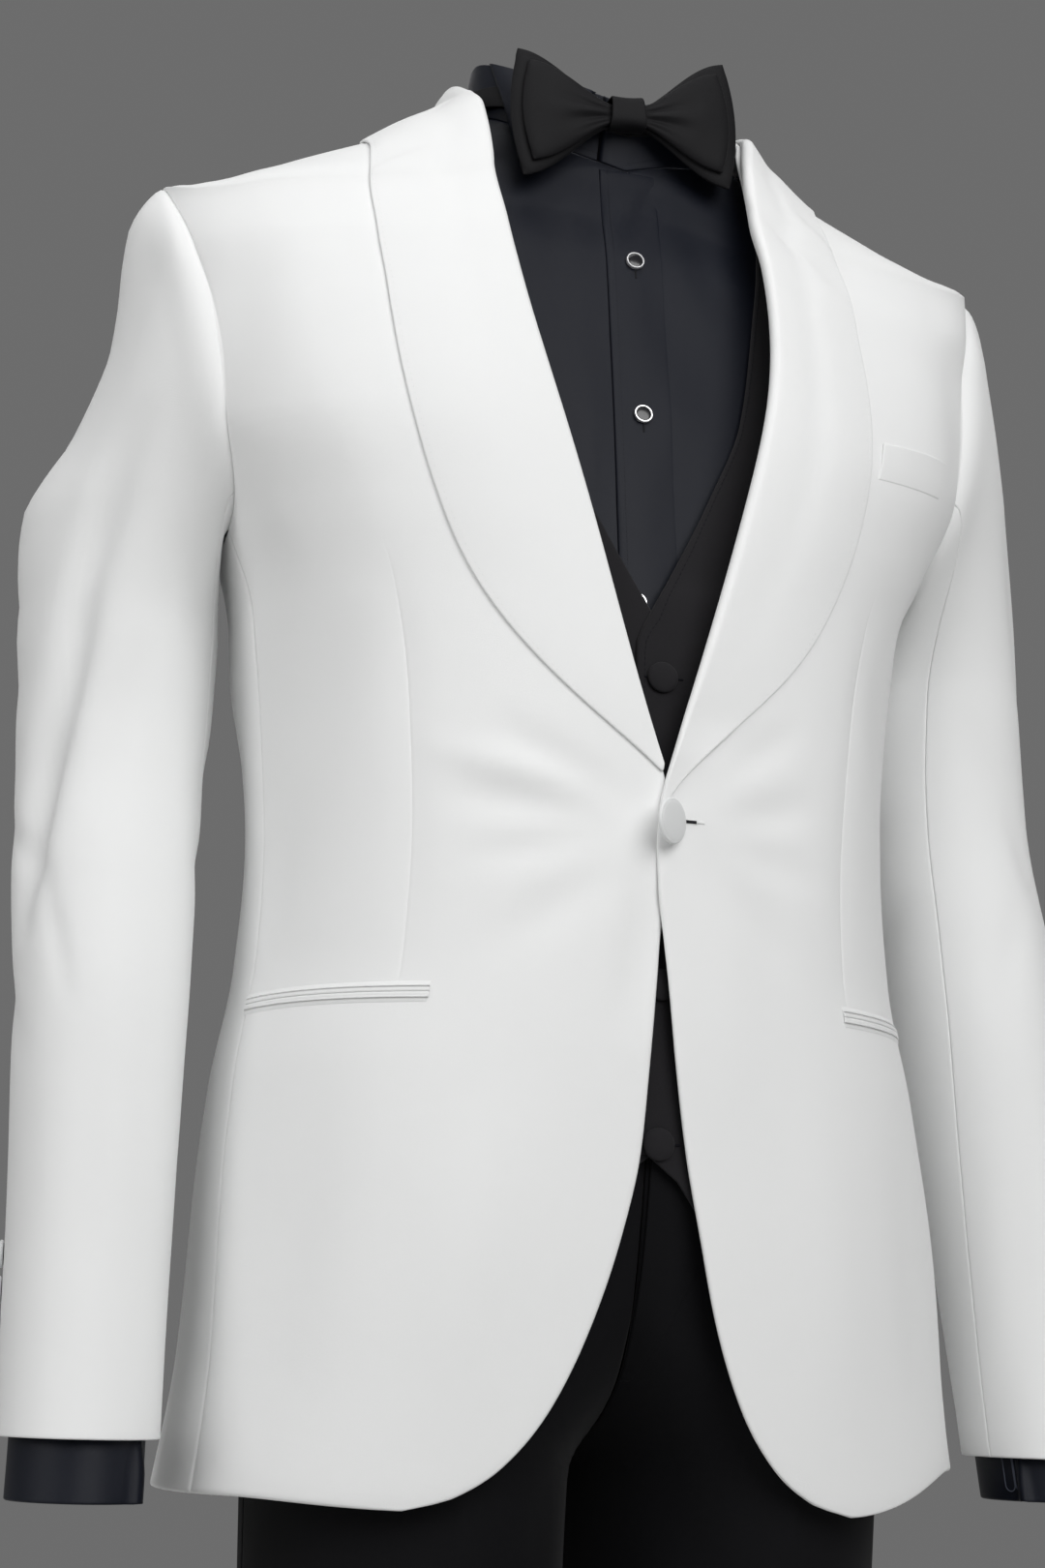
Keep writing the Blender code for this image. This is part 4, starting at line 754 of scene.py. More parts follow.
cuff_turns = np.linspace(0, 360, 121)
around = CUFF["opening"] + cuff_turns
end_flare = CUFF_FLARE * np.clip(1 - np.minimum(cuff_turns, 360 - cuff_turns) / CUFF_FLARE_TURN, 0, 1) ** 2
hem_turn = np.linspace(0, np.pi, 9)[1:-1]
for side, sign in SIDES.items():
    # The strip runs down the outside, round the fold and up the inside.
    hem = CUFF["hem"][side]
    cuff_drops = CUFF["top"] + close_steps(hem - CUFF["top"], 4.0)[:-2]
    layers = [(drop, 0.0) for drop in cuff_drops]
    layers += [(hem - CUFF_GAP / 2 * (1 - np.sin(a)), -CUFF_GAP / 2 * (1 - np.cos(a))) for a in hem_turn]
    layers += [(drop, -CUFF_GAP) for drop in cuff_drops[::-1]]
    rows = []
    for drop, offset in layers:
        ring = sleeve_section(np.full(len(around), drop), around, SHIRT_SLEEVE_INSET)
        outward = grid_normals(np.array([ring, ring + (0, 0, -1)]), towards=ring - ring.mean(0))[0]
        rows.append(ring + outward * (offset + end_flare * ramp(drop, *CUFF_FLARE_DROPS))[:, None])
    grid = np.array(rows) * (sign, 1, 1)
    normals = sheet_normals(grid)
    normals *= np.sign((normals[2] * (grid[2] - grid[2].mean(0))).sum(-1).mean())
    cloth(f"cuff_cloth_{side}", f"shirt_cuff_{side}", "navy_sateen", grid, normals, CUFF["wall"])

# Two short loops hang from the left cuff beside its opening, much lighter than the cuff's cloth: a painted
# highlight on the cuff's folded edges seen end-on.
cuff_loop_highlight, *_ = new_material("cuff_loop_highlight", (0.06, 0.07, 0.10), 0.5)
top, bottom = CUFF_LOOPS["top"], CUFF_LOOPS["bottom"]
bend = np.linspace(0, np.pi, 16)
reach = np.concatenate([
    np.linspace(top, bottom, 12), bottom + CUFF_LOOPS["sag"] * np.sin(bend), np.linspace(bottom, top, 12)])
offset = np.concatenate([np.full(12, -1.0), -np.cos(bend), np.full(12, 1.0)]) * CUFF_LOOPS["half_turn"]
for number, turn in enumerate(CUFF_LOOPS["turns"], 1):
    path = sleeve_section(reach, turn + offset, SHIRT_SLEEVE_INSET - CUFF_LOOPS["clear"])
    stitches(f"cuff_loop_{number}", "cuff_loop", path, cuff_loop_highlight, "navy_sateen")

# ---------------------------------------------------------------------------------------------------------
# Trousers. Black worsted wool: two fronts and two backs with pressed creases, a waistband under the
# waistcoat and a fly flap on the left front. They hang from the waist in straight legs.

TROUSERS = table(
    "drop centre half front side back square",
    (500, 0, 158, -131.5, 10, 113, 2.3), (560, 12, 154, -133, 10, 120, 2.3),
    (620, 36, 134, -130, 11, 127, 2.2), (680, 64, 106, -126, 12, 128, 2.1),
    (735, 83, 81.5, -119, 12, 122, 2.0), (800, 83, 80, -111, 12, 114, 2.0),
    (900, 92, 68, -100, 11, 103, 2.0), (1060, 98, 62, -88, 8, 88, 2.0), (1250, 103, 57, -80, 5, 84, 2.0),
    (1520, 108, 54, -77, 5, 82, 2.0),
)
TROUSER_TOP, TROUSER_HEM, TROUSER_WALL, TROUSER_DIP = 537, 1520, 1.5, 0.5
WAISTBAND = (503, 536.5)
FLY = table("drop width", (538, 14), (580, 14), (620, 13), (660, 9), (690, 2.5))
FLY_WALL = 0.8
FLY_SHORT = 0.8  # how far from the centre it ends, in degrees
FLY_LIFT = {"sewn": 0.2, "loose": 0.6, "from": 0.55, "drops": (640, 690)}  # it comes down to its seam
TROUSER_STEP = 6.0
LEG_WIDTH = 170  # of each of the four leg cloths, about
PRESSED = {"height": 3.0, "width": 5.0}  # the crease down each leg
PRESSED_FROM = (600, 760)  # drops between which it grows
# Soft hollows and ridges of a leg, in drops and in degrees from its outer side by the front.
LEG_CREASES = table(
    CREASE_COLUMNS,
    (560, 60, 700, 96, 9, 2.4), (600, 84, 760, 120, 8, 2.8), (640, 118, 760, 76, 9, -2.0),
    (560, 30, 720, 50, 12, 1.8), (700, 140, 860, 96, 10, 2.2), (760, 60, 1000, 70, 14, 1.8),
    (980, 40, 1120, 84, 12, 2.2), (1040, 130, 1180, 100, 10, 2.0), (1080, 60, 1230, 112, 12, -1.6),
    (1330, 70, 1500, 110, 14, 2.4), (1380, 120, 1515, 60, 12, 2.0), (620, 235, 760, 262, 12, 2.4),
    (660, 300, 820, 268, 14, 2.6), (900, 250, 1100, 290, 14, 2.0), (1060, 230, 1180, 280, 12, 2.4),
    (1300, 290, 1500, 240, 16, 2.2),
)

fabrics["black_wool"] = woven(
    "black_worsted", (0.0030, 0.0030, 0.0040), 0.82, thread=0.0006, relief=0.00004, blotch=0.1,
    Sheen_Weight=0.04, Sheen_Roughness=0.4, Specular_IOR_Level=0.16,
)


def leg_surface(drop, turn):
    """The left trouser leg. Angles run from the outer side by the front to the inside leg."""
    drop, turn = np.broadcast_arrays(np.asarray(drop, float), np.asarray(turn, float))
    x, y = oval(90 - turn, *oval_sizes(TROUSERS, drop))
    return np.stack([column(TROUSERS, "centre", drop) + x, y, -drop], -1)


def centre_turn(drops):
    """The angle at which a leg's section reaches the centre plane, 180 below the crotch."""
    centre, half, square = (column(TROUSERS, name, drops) for name in ("centre", "half", "square"))
    return 90 + np.degrees(np.arcsin(np.clip(centre / half, 0, 1) ** (square / 2)))


def leg_lift(drops, turns, pressed_at):
    """The pressed crease, and the soft ones pressed into a leg."""
    sharp = PRESSED["height"] * ramp(drops, *PRESSED_FROM)
    return sharp * np.exp(-np.abs(turns - pressed_at) / PRESSED["width"]) - creased(drops, turns, LEG_CREASES)


leg_drops = np.concatenate([
    TROUSER_TOP + close_steps(215, TROUSER_STEP)[:-4], np.linspace(752, 1515, 100),
    TROUSER_HEM - EDGE_STEPS[::-1],
])
end = centre_turn(leg_drops)
shares = close_shares(LEG_WIDTH, TROUSER_STEP)
around = {"front": between(0 * end, end, shares), "back": between(360 - end, 0 * end + 360, shares)}
for way, turns in around.items():
    drops = level(leg_drops, turns)
    pressed_at = 90.0 if way == "front" else 270.0
    row, near = np.arange(len(turns)), np.abs(turns - pressed_at).argmin(1)
    turns[row, near] = np.where(leg_drops > PRESSED_FROM[0], pressed_at, turns[row, near])
    # Angles run the other way round a leg than round a body, so the normals are turned.
    grid, normals = raised(leg_surface, drops, turns, leg_lift(drops, turns, pressed_at), facing=-1)
    for side, sign in SIDES.items():
        mirror = (sign, 1, 1)
        cloth(f"trouser_{way}_cloth_{side}", f"trouser_{way}_{side}", "black_wool", grid * mirror,
              normals * mirror, TROUSER_WALL, dip=TROUSER_DIP)

turns = np.linspace(0, 90, 26)
rings = []
for drop in WAISTBAND[0] + close_steps(WAISTBAND[1] - WAISTBAND[0], TROUSER_STEP):
    front, back = leg_surface(drop, turns), leg_surface(drop, -turns)
    left = np.concatenate([back[::-1], front[1:]])
    rings.append(np.concatenate([left, (left * (-1, 1, 1))[-2:0:-1]]))
grid = np.array(rings)
cloth("waistband_cloth", "trouser_waistband", "black_wool", grid, grid_normals(grid, ring=True), TROUSER_WALL,
      ring=True)

fly_drops = np.linspace(FLY["drop"][0], FLY["drop"][-1], 40)
edge, width = centre_turn(fly_drops) - FLY_SHORT, column(FLY, "width", fly_drops)
turns = between(edge, edge - width, close_shares(30, 4.0))
drops = level(fly_drops, turns)
sewn_down = ramp(edge[:, None] - turns, FLY_LIFT["from"] * width[:, None], width[:, None])
loose = (FLY_LIFT["loose"] + FLY_WALL) * (1 - sewn_down) * (1 - ramp(drops, *FLY_LIFT["drops"]))
lift = leg_lift(drops, turns, 90.0) + FLY_LIFT["sewn"] + loose
grid, normals = raised(leg_surface, drops, turns, lift, facing=-1)
cloth("fly_cloth", "trouser_fly", "black_wool", grid, normals, FLY_WALL)

# ---------------------------------------------------------------------------------------------------------
# Waistcoat. Matte black barathea: two fronts that lap left over right and end in points, and a back. Four
# buttons covered in the same cloth close it through worked buttonholes.

WAISTCOAT = table(
    FORM_COLUMNS,
    (4, 80.6, -65, 3, 72.6, 2.1), (10, 93, -66, 4, 78, 2.1), (24.3, 128, -67, 6, 91, 2.1),
    (65.3, 216, -75, 8, 107, 2.1), (100, 214, -86, 8, 114, 2.4), (150, 205, -97, 10, 119, 2.6),
    (200, 189, -107.5, 10, 121, 2.6), (250, 177, -116.5, 10, 120, 2.5), (300, 166, -124.5, 10, 117, 2.4),
    (350, 160, -130.5, 10, 114, 2.3), (420, 156, -133.5, 10, 112, 2.3), (480, 157, -134.5, 10, 114.5, 2.3),
    (505, 163, -136, 10, 119, 2.35), (560, 173, -136.5, 10, 128.5, 2.5), (640, 187, -137, 10, 142, 2.7),
)
WAISTCOAT_EDGE = table(
    "drop x",
    (4, 80), (60, 75), (121, 66), (191, 54), (242, 33), (283, 12), (310, -3), (325, -9), (400, -10),
    (640, -10),
)
WAISTCOAT_HEM = table(
    "turn drop",
    (-2, 577), (0, 581), (7.5, 622), (21, 614), (60, 592), (90, 578), (180, 574),
)
WAISTCOAT_WALL, WAISTCOAT_DIP = 1.5, 0.3
WAISTCOAT_STEP = 6.0
WAISTCOAT_WIDTHS = {"front": 240, "back": 500}  # about, as cut
WAISTCOAT_LAP = 2.2
WAISTCOAT_LAPS = (283, 300)  # drops between which the lap begins
LAP_TURNS = (8, 20)  # angles between which a lap comes down to the form
WAISTCOAT_ENDS = {"neck": 4.5, "back": 574, "front": 640}
WAISTCOAT_SHAPED = 540  # the drop below which the fronts' rows run towards the hem's line
WAISTCOAT_BUTTONS = {"drops": (341, 419, 497, 575), "x": 4, "radius": 8, "height": 3.0}
WAISTCOAT_CREASES = table(
    CREASE_COLUMNS,
    (330, 20, 420, 70, 9, 1.2), (345, 16, 352, 90, 7, 0.9), (425, 18, 400, 100, 8, 1.1),
    (480, 30, 520, 96, 9, 1.0), (360, 150, 420, 215, 14, 1.6), (440, 120, 520, 190, 14, 1.4),
    (120, 60, 240, 100, 14, -1.0),
)

fabrics["black_barathea"] = woven(
    "black_barathea", (0.0120, 0.0112, 0.0130), 0.85, thread=0.0008, relief=0.00006, blotch=0.12,
    Sheen_Weight=0.08, Sheen_Roughness=0.5, Specular_IOR_Level=0.2,
)


def waistcoat_surface(drop, turn):
    return on_form(WAISTCOAT, drop, turn)


def waistcoat_lift(side, drops, turns):
    """How far a front lies off its form: the left one's lap, and the creases."""
    lap = WAISTCOAT_LAP * (1 - ramp(turns, *LAP_TURNS)) * ramp(drops, *WAISTCOAT_LAPS)
    return (lap if side == "left" else 0.0) - creased(drops, np.abs(turns) * MM_PER_DEGREE, WAISTCOAT_CREASES)


waistcoat = {
    "surface": waistcoat_surface, "slot": "black_barathea", "wall": WAISTCOAT_WALL, "dip": WAISTCOAT_DIP,
}
neck, back_end, front_end = WAISTCOAT_ENDS.values()
rows = form_rows(WAISTCOAT, neck, front_end, WAISTCOAT_STEP, hole_rows("waistcoat"))
edge = turn_at(WAISTCOAT, rows, column(WAISTCOAT_EDGE, "x", rows))
across = close_shares(WAISTCOAT_WIDTHS["front"], WAISTCOAT_STEP)
turns = between(edge, 90 - hole_reach("waistcoat", rows), across)
flat = level(rows, turns)
hem = column(WAISTCOAT_HEM, "drop", turns, key="turn")
shaped = (flat - WAISTCOAT_SHAPED) / (front_end - WAISTCOAT_SHAPED) * (hem - WAISTCOAT_SHAPED)
drops = np.where(flat > WAISTCOAT_SHAPED, WAISTCOAT_SHAPED + shaped, flat)
for side, sign in SIDES.items():
    lift = waistcoat_lift(side, drops, turns)
    grid, normals = panel(
        waistcoat, f"waistcoat_front_cloth_{side}", f"waistcoat_front_{side}", drops, sign * turns, lift)
    if side == "left":
        path = grid[3:-5, 4] + normals[3:-5, 4] * 0.02
        stitches("waistcoat_edge_stitches", "waistcoat_edge", path, black_thread, "black_barathea")

rows = form_rows(WAISTCOAT, neck, back_end, WAISTCOAT_STEP, hole_rows("waistcoat"))
reach = 90 - hole_reach("waistcoat", rows)
turns = between(180 - reach, 180 + reach, close_shares(WAISTCOAT_WIDTHS["back"], 6.5))
drops = level(rows, turns)
lift = -creased(drops, turns * MM_PER_DEGREE, BACK_CREASES)
panel(waistcoat, "waistcoat_back_cloth", "waistcoat_back", drops, turns, lift)

r, h, x = (WAISTCOAT_BUTTONS[name] for name in ("radius", "height", "x"))
profile = [(0, 0), (r * 0.8, 0)] + [
    (r * 0.9 + r * 0.1 * np.sin(a), h * 0.35 * (1 - np.cos(a))) for a in np.linspace(0.3, np.pi / 2, 5)
] + [(r * np.cos(a), h * 0.35 + h * 0.65 * np.sin(a) ** 0.8) for a in np.linspace(0.12, np.pi / 2, 14)]
for number, drop in enumerate(WAISTCOAT_BUTTONS["drops"], 1):
    place, normal = raised(waistcoat_surface, drop, turn_at(WAISTCOAT, drop, x), WAISTCOAT_LAP + 0.3)
    button = turned(
        f"waistcoat_button_cloth_{number}", profile, place, normal, fabrics["black_barathea"], sides=48)
    fixed(button, "black_covered_button", f"waistcoat_button_{number}")
    hole_turn = turn_at(WAISTCOAT, drop, x + np.linspace(-9, 11, 24))
    hole = waistcoat_surface(drop, hole_turn) + normal * WAISTCOAT_LAP
    stitches(f"waistcoat_buttonhole_{number}", "waistcoat_hole", hole, black_thread, "black_barathea")

# ---------------------------------------------------------------------------------------------------------
# Bow tie. Charcoal-black silk: two flat double layers, the front one smaller, gathered into soft pleats by a
# plain band that is sewn round their middle; a narrow strap runs from behind it round the shirt's band.

BOW = {"centre": (-5, -20.5), "tilt": 3.8, "bulge": 0.09, "curl": 1.5, "swell": 2.6}
BOW_WAVE = {"height": 0.5, "length": 9.0}
BOW_LAYERS = {  # half length, half height at the end and at the knot, place along Y
    "bow_back_layer": (64, 36, 5.9, -79.0),
    "bow_front_layer": (58.5, 28.5, 5.4, -83.2),
}
BOW_WALL, BOW_STEP = 1.5, 1.8
KNOT = {"half_width": 9.5, "half_height": 9.2, "higher": 1.3, "front": -87.0, "back": -71.9, "wall": 1.4}
KNOT_SQUARED = 0.62  # the power that draws its round section towards a square's
STRAP_HEIGHT = table("turn z", (0, -20), (75, 2), (95, 9), (180, 20))
STRAP = {"half_height": 7, "stand_off": 1.2, "wall": 1.0}
# Pleats that fan out of the knot: how high in the fan (-1 to 1), how wide, how deep, and how far they reach.
PLEATS = table(
    "high wide deep reach",
    (0.36, 0.2, 1.3, 0.7), (-0.30, 0.2, 1.3, 0.6), (0.02, 0.22, -0.9, 0.95), (0.74, 0.14, 0.5, 0.5),
    (-0.72, 0.14, 0.5, 0.5),
)

fabrics["charcoal_grosgrain"] = woven(
    "charcoal_grosgrain", (0.0046, 0.0044, 0.0054), 0.62, thread=0.0007, relief=0.00005, blotch=0.08,
    Sheen_Weight=0.03, Sheen_Roughness=0.4, Specular_IOR_Level=0.18,
)


def bow_point(x, z, y):
    """A point of the bow in its own upright plane, tilted about the knot."""
    tilt = np.radians(BOW["tilt"])
    place_x, place_z = BOW["centre"]
    turned_x = place_x + x * np.cos(tilt) - z * np.sin(tilt)
    return np.stack([turned_x, y + 0 * x, place_z + x * np.sin(tilt) + z * np.cos(tilt)], -1)


for layer, (half_length, end_height, knot_height, place) in BOW_LAYERS.items():
    x = close_steps(2 * half_length, BOW_STEP) - half_length
    share = (close_steps(2 * end_height, BOW_STEP) / end_height - 1)[:, None]
    out = np.clip((np.abs(x) - KNOT["half_width"]) / (half_length - KNOT["half_width"]), 0, 1)
    spread = ramp(np.abs(x), KNOT["half_width"] - 2, half_length) ** 0.8
    height = knot_height + (end_height - knot_height) * spread
    swell = BOW["swell"] * np.sin(np.pi * out ** 0.75) * (1 - share**2) ** 0.7
    fan = 0 * share * out
    for high, wide, deep, reach in zip(*PLEATS.values()):
        across = np.exp(-(((share - high) / (wide * (0.6 + 0.9 * out))) ** 2))
        fan = fan + deep * across * np.sin(np.pi * np.clip(out / reach, 0, 1) ** 0.75)
    edge_wave = BOW_WAVE["height"] * np.sin(np.abs(x) / BOW_WAVE["length"] + 2 * share) * out
    curl = BOW["curl"] * np.clip(np.abs(share) ** 14 + out**30, 0, 1)
    depth = place - swell + fan + edge_wave + curl
    grid = bow_point(x * (1 - BOW["bulge"] * share**2), height * share, depth)
    normals = grid_normals(grid, towards=(0, -1, 0))
    cloth(f"{layer}_cloth", layer, "charcoal_grosgrain", grid, normals, BOW_WALL, placed=np.array)


def squared(wave):
    """A sine or cosine with fuller shoulders."""
    return np.sign(wave) * np.abs(wave) ** KNOT_SQUARED


angles = np.linspace(0, 2 * np.pi, 72, endpoint=False)
middle, deep = (KNOT["front"] + KNOT["back"]) / 2, (KNOT["back"] - KNOT["front"]) / 2
rings = []
for x in close_steps(2 * KNOT["half_width"], 1.6) - KNOT["half_width"]:
    waist = 1 - 0.05 * np.cos(np.pi * x / KNOT["half_width"] / 2) + 0.02 * np.cos(3 * angles + x / 6)
    high = squared(np.sin(angles)) * KNOT["half_height"] * waist
    taper = 1 + 0.07 * np.clip(-high / KNOT["half_height"], -1, 1)
    rings.append(bow_point(x * taper, high + KNOT["higher"], middle - squared(np.cos(angles)) * deep))
grid = np.array(rings)
cloth("bow_knot_cloth", "bow_knot", "charcoal_grosgrain", grid, grid_normals(grid, ring=True), KNOT["wall"],
      ring=True, placed=np.array)

turns = np.linspace(0, 360, 150, endpoint=False)
centre = smooth(STRAP_HEIGHT["turn"], STRAP_HEIGHT["z"], np.abs((turns + 180) % 360 - 180))
low, top = (band_point(turns, share)[:, 2] for share in (0.0, 1.0))
grid = np.array([
    band_point(turns, (centre + offset - low) / (top - low))
    for offset in close_steps(2 * STRAP["half_height"], 2.0) - STRAP["half_height"]
])
normals = grid_normals(grid, ring=True)
grid = grid + normals * (STRAP["stand_off"] + STRAP["wall"])
cloth("bow_strap_cloth", "bow_strap", "charcoal_grosgrain", grid, normals, STRAP["wall"],
      ring=True)

# ---------------------------------------------------------------------------------------------------------
# Jacket body. White worsted wool: two fronts with a dart each, side panels and two backs, sewn with plain
# pressed seams that show as fine grooves. The left front laps over the right where the button holds it.

JACKET_WALL = 2.0
JACKET_STEP = 5.0
JACKET_TOP = 0.3
SEAM_DIP = 0.75
JACKET_LAP = 2.6
JACKET_LAPS = ((370, 391), (500, 600))  # drops between which the lap begins and ends
ARMPIT_DRAPE = {"height": 9.0, "drop": 322, "length": 48, "turn": 112, "width": 17}
SEAM_FROM = 250  # the drop from which the side panel's rows are counted
DART_GROOVE = {"depth": 0.45, "width": 0.9, "from": (265, 340), "to": (496, 501)}
DART_HOLLOW = {"depth": 0.9, "width": 9, "from": (270, 330), "to": (440, 520)}
CLOSE_ROWS = np.arange(690, 749, 2.5)  # drops where the fronts' edge rounds into the hem
JACKET_WIDTHS = {"beside_dart": 120, "side": 80, "back": 230}  # about, as cut
SIDE_TOP_FADE = 18  # how soon a side panel's columns come from the armhole to between its seams
ROLL_LINE = table(
    "drop left right",
    (0, 69.5, 79), (20, 64, 80), (60, 65, 80.5), (90, 67.5, 78.5), (120, 70.5, 77), (150, 70.5, 71.5),
    (184, 65.5, 61.5), (230, 54, 47.5), (272, 42, 35.5), (311, 30.5, 24.5), (342, 20.5, 15.5), (367, 12, 7),
    (391, 4, -1.5),
)
FRONT_EDGE = table(
    "drop left right",
    (391, 4, -1.5), (402, 0.5, -5), (414, -1.5, -9), (428, -2.2, -11), (444, -1.3, -10), (455, -0.5, -7),
    (472, 2, -2.2), (494, 5, -0.8), (535, 10, 2.2), (580, 17, 6), (620, 25.5, 14.5), (661, 35, 27.5),
    (701, 49.5, 46), (729, 68, 68), (745, 90, 92.5), (751, 112, 115),
)
SIDE_SEAM = table(
    "drop front back",
    (241, 86, 100), (330, 84, 101), (485, 80, 105), (600, 78, 107), (755, 73, 109),
)
DARTS = {"right": (41.5, 39.5), "left": (43.5, 36.0)}  # angles at their top and at the pocket
DART_DROPS = (270, 500)
FRONT_SEAM_TURN, BACK_SEAM_TURN = 169.5, 207  # where the side panel meets the armhole
# Soft pulls and hollows of the fronts, in drops and in millimetres round from the centre.
FRONT_CREASES = {
    "right": table(
        CREASE_COLUMNS,
        (418, 4, 404, 110, 10, 3.0), (424, 6, 440, 96, 9, 2.2), (412, 2, 366, 84, 9, 2.4),
        (430, 4, 490, 80, 12, 2.0), (404, 20, 380, 120, 8, -1.6), (432, 5, 530, 8, 6, 2.8),
        (260, 190, 300, 262, 20, 3.2), (300, 150, 420, 210, 26, 2.4), (380, 200, 500, 236, 18, 1.6),
        (90, 150, 210, 196, 26, 2.6), (540, 60, 730, 70, 22, -2.4), (520, 150, 740, 170, 26, 2.6),
        (560, 220, 740, 206, 20, -1.6), (160, 110, 330, 130, 24, -1.4),
    ),
    "left": table(
        CREASE_COLUMNS,
        (416, 10, 400, 90, 10, 2.4), (424, 12, 440, 92, 10, 1.8), (406, 8, 356, 76, 9, 2.2),
        (430, 10, 490, 70, 12, 1.6), (264, 188, 310, 264, 20, 3.0), (300, 140, 410, 206, 24, 2.2),
        (100, 160, 220, 200, 24, 2.4), (530, 66, 740, 84, 22, -1.8), (540, 140, 745, 150, 22, 1.8),
        (560, 210, 745, 196, 20, -1.6),
    ),
}
JACKET_BACK_CREASES = table(
    CREASE_COLUMNS,
    (90, 360, 230, 330, 20, 3.0), (140, 400, 330, 360, 22, 2.4), (330, 330, 470, 400, 26, 2.6),
    (400, 480, 560, 430, 28, 2.2), (540, 380, 740, 370, 22, -1.8), (560, 460, 745, 470, 24, 1.6),
    (60, 470, 150, 440, 18, 1.4),
)

fabrics["white_wool"] = woven(
    "white_worsted_wool", (0.845, 0.85, 0.848), 0.78, thread=0.0005, relief=0.00004, shade=0.02, blotch=0.02,
    Sheen_Weight=0.18, Sheen_Roughness=0.5, Specular_IOR_Level=0.3,
)
white_thread, *_ = new_material("white_thread", (0.78, 0.79, 0.78), 0.6)


def front_edge_x(side, drops):
    """How far from the centre a front's free edge lies: along the collar's fold, then below the button."""
    below = drops >= ROLL_LINE["drop"][-1]
    return np.where(below, column(FRONT_EDGE, side, drops), column(ROLL_LINE, side, drops))


def armhole_side(drops, seam_turn, seam, back):
    """The angle of a panel's outer edge: its seam, then the armhole, then the shoulder seam at 90."""
    seam_drop = armhole("jacket", seam_turn)[0]
    reach = hole_reach("jacket", drops) * (-1 if back else 1)
    return np.where(drops > seam_drop, column(SIDE_SEAM, seam, drops), 90 - reach)


def front_lift(side, drops, turns):
    """How far the cloth lies off its form: the lap of the left front, and the creases."""
    lap = 0.0
    if side == "left":
        begins, ends = (ramp(drops, *between_drops) for between_drops in JACKET_LAPS)
        lap = JACKET_LAP * (1 - ramp(np.abs(turns), *LAP_TURNS)) * begins * (1 - ends)
    return lap - creased(drops, np.abs(turns) * MM_PER_DEGREE, FRONT_CREASES[side])


def drape(drops, turns):
    """The fullness that stands out behind the armpit."""
    height, drop, length, turn, width = ARMPIT_DRAPE.values()
    return height * np.exp(-(((drops - drop) / length) ** 2) - ((np.abs(turns) - turn) / width) ** 2)


jacket = {"surface": jacket_surface, "slot": "white_wool", "wall": JACKET_WALL, "dip": SEAM_DIP}
back_rows = form_rows(JACKET, JACKET_TOP, HEM, JACKET_STEP, hole_rows("jacket"))
more_rows = np.concatenate([hole_rows("jacket"), CLOSE_ROWS])
front_rows = form_rows(JACKET, JACKET_TOP, HEM, JACKET_STEP, more_rows)
for side, sign in SIDES.items():
    edge = turn_at(JACKET, front_rows, front_edge_x(side, front_rows))
    at_top, at_pocket = DARTS[side]
    dart = smooth(np.array((200.0, *DART_DROPS, 760.0)), np.array((at_top + 2, at_top, at_pocket, at_pocket)),
                  front_rows)
    seam = armhole_side(front_rows, FRONT_SEAM_TURN, "front", back=False)
    dart = np.maximum(dart, edge + 0.25 * (seam - edge))
    beside = close_shares(JACKET_WIDTHS["beside_dart"], JACKET_STEP)
    turns = np.concatenate([between(edge, dart, beside)[:, :-1], between(dart, seam, beside)], 1)
    drops = level(front_rows, turns)
    from_dart = (turns - dart[:, None]) * MM_PER_DEGREE
    groove = DART_GROOVE["depth"] * np.exp(-np.abs(from_dart) / DART_GROOVE["width"])
    groove = groove * ramp(drops, *DART_GROOVE["from"]) * (1 - ramp(drops, *DART_GROOVE["to"]))
    hollow = DART_HOLLOW["depth"] * np.exp(-((from_dart / DART_HOLLOW["width"]) ** 2))
    hollow = hollow * ramp(drops, *DART_HOLLOW["from"]) * (1 - ramp(drops, *DART_HOLLOW["to"]))
    panel(jacket, f"jacket_front_cloth_{side}", f"jacket_front_{side}", drops, sign * turns,
          front_lift(side, drops, turns) - groove - hollow)

    rows = close_shares(HEM - SEAM_FROM, JACKET_STEP)
    holes = FRONT_SEAM_TURN + close_shares(JACKET_WIDTHS["side"], 4.0) * (BACK_SEAM_TURN - FRONT_SEAM_TURN)
    tops, top_turns = armhole("jacket", holes)
    drops = tops + (HEM - tops) * rows[:, None]
    seams = column(SIDE_SEAM, "front", drops[:, 0]), column(SIDE_SEAM, "back", drops[:, -1])
    turns = between(*seams, (holes - holes[0]) / (holes[-1] - holes[0]))
    turns += (top_turns - turns[0]) * np.exp(-rows * SIDE_TOP_FADE)[:, None]
    lift = drape(drops, turns) - creased(drops, turns * MM_PER_DEGREE, FRONT_CREASES[side])
    panel(jacket, f"jacket_side_cloth_{side}", f"jacket_side_{side}", drops, sign * turns, lift)

    seam = armhole_side(back_rows, BACK_SEAM_TURN, "back", back=True)
    shares = close_shares(JACKET_WIDTHS["back"], JACKET_STEP)
    turns = between(seam, np.full(len(back_rows), 180.0), shares)
    drops = level(back_rows, turns)
    across = turns * MM_PER_DEGREE + (20 if side == "left" else 0)
    lift = drape(drops, turns) - creased(drops, across, JACKET_BACK_CREASES)
    panel(jacket, f"jacket_back_cloth_{side}", f"jacket_back_{side}", drops, sign * turns, lift)

# ---------------------------------------------------------------------------------------------------------
# Jacket sleeves. An upper and an under panel each, set into the armhole with a slightly full head. Four
# buttons covered in the jacket's cloth are sewn beside the hind seam above the hem.

SLEEVE_HEM = 722.0
SLEEVE_WALL, SLEEVE_DIP = 1.1, 0.1
SLEEVE_SEAMS = {"right": (148, 300), "left": (120, 300)}  # angles of the front and the hind seam
SLEEVE_BUTTONS = {"drops": (634, 652, 670, 688), "turn": 315, "radius": 7, "height": 2.6}
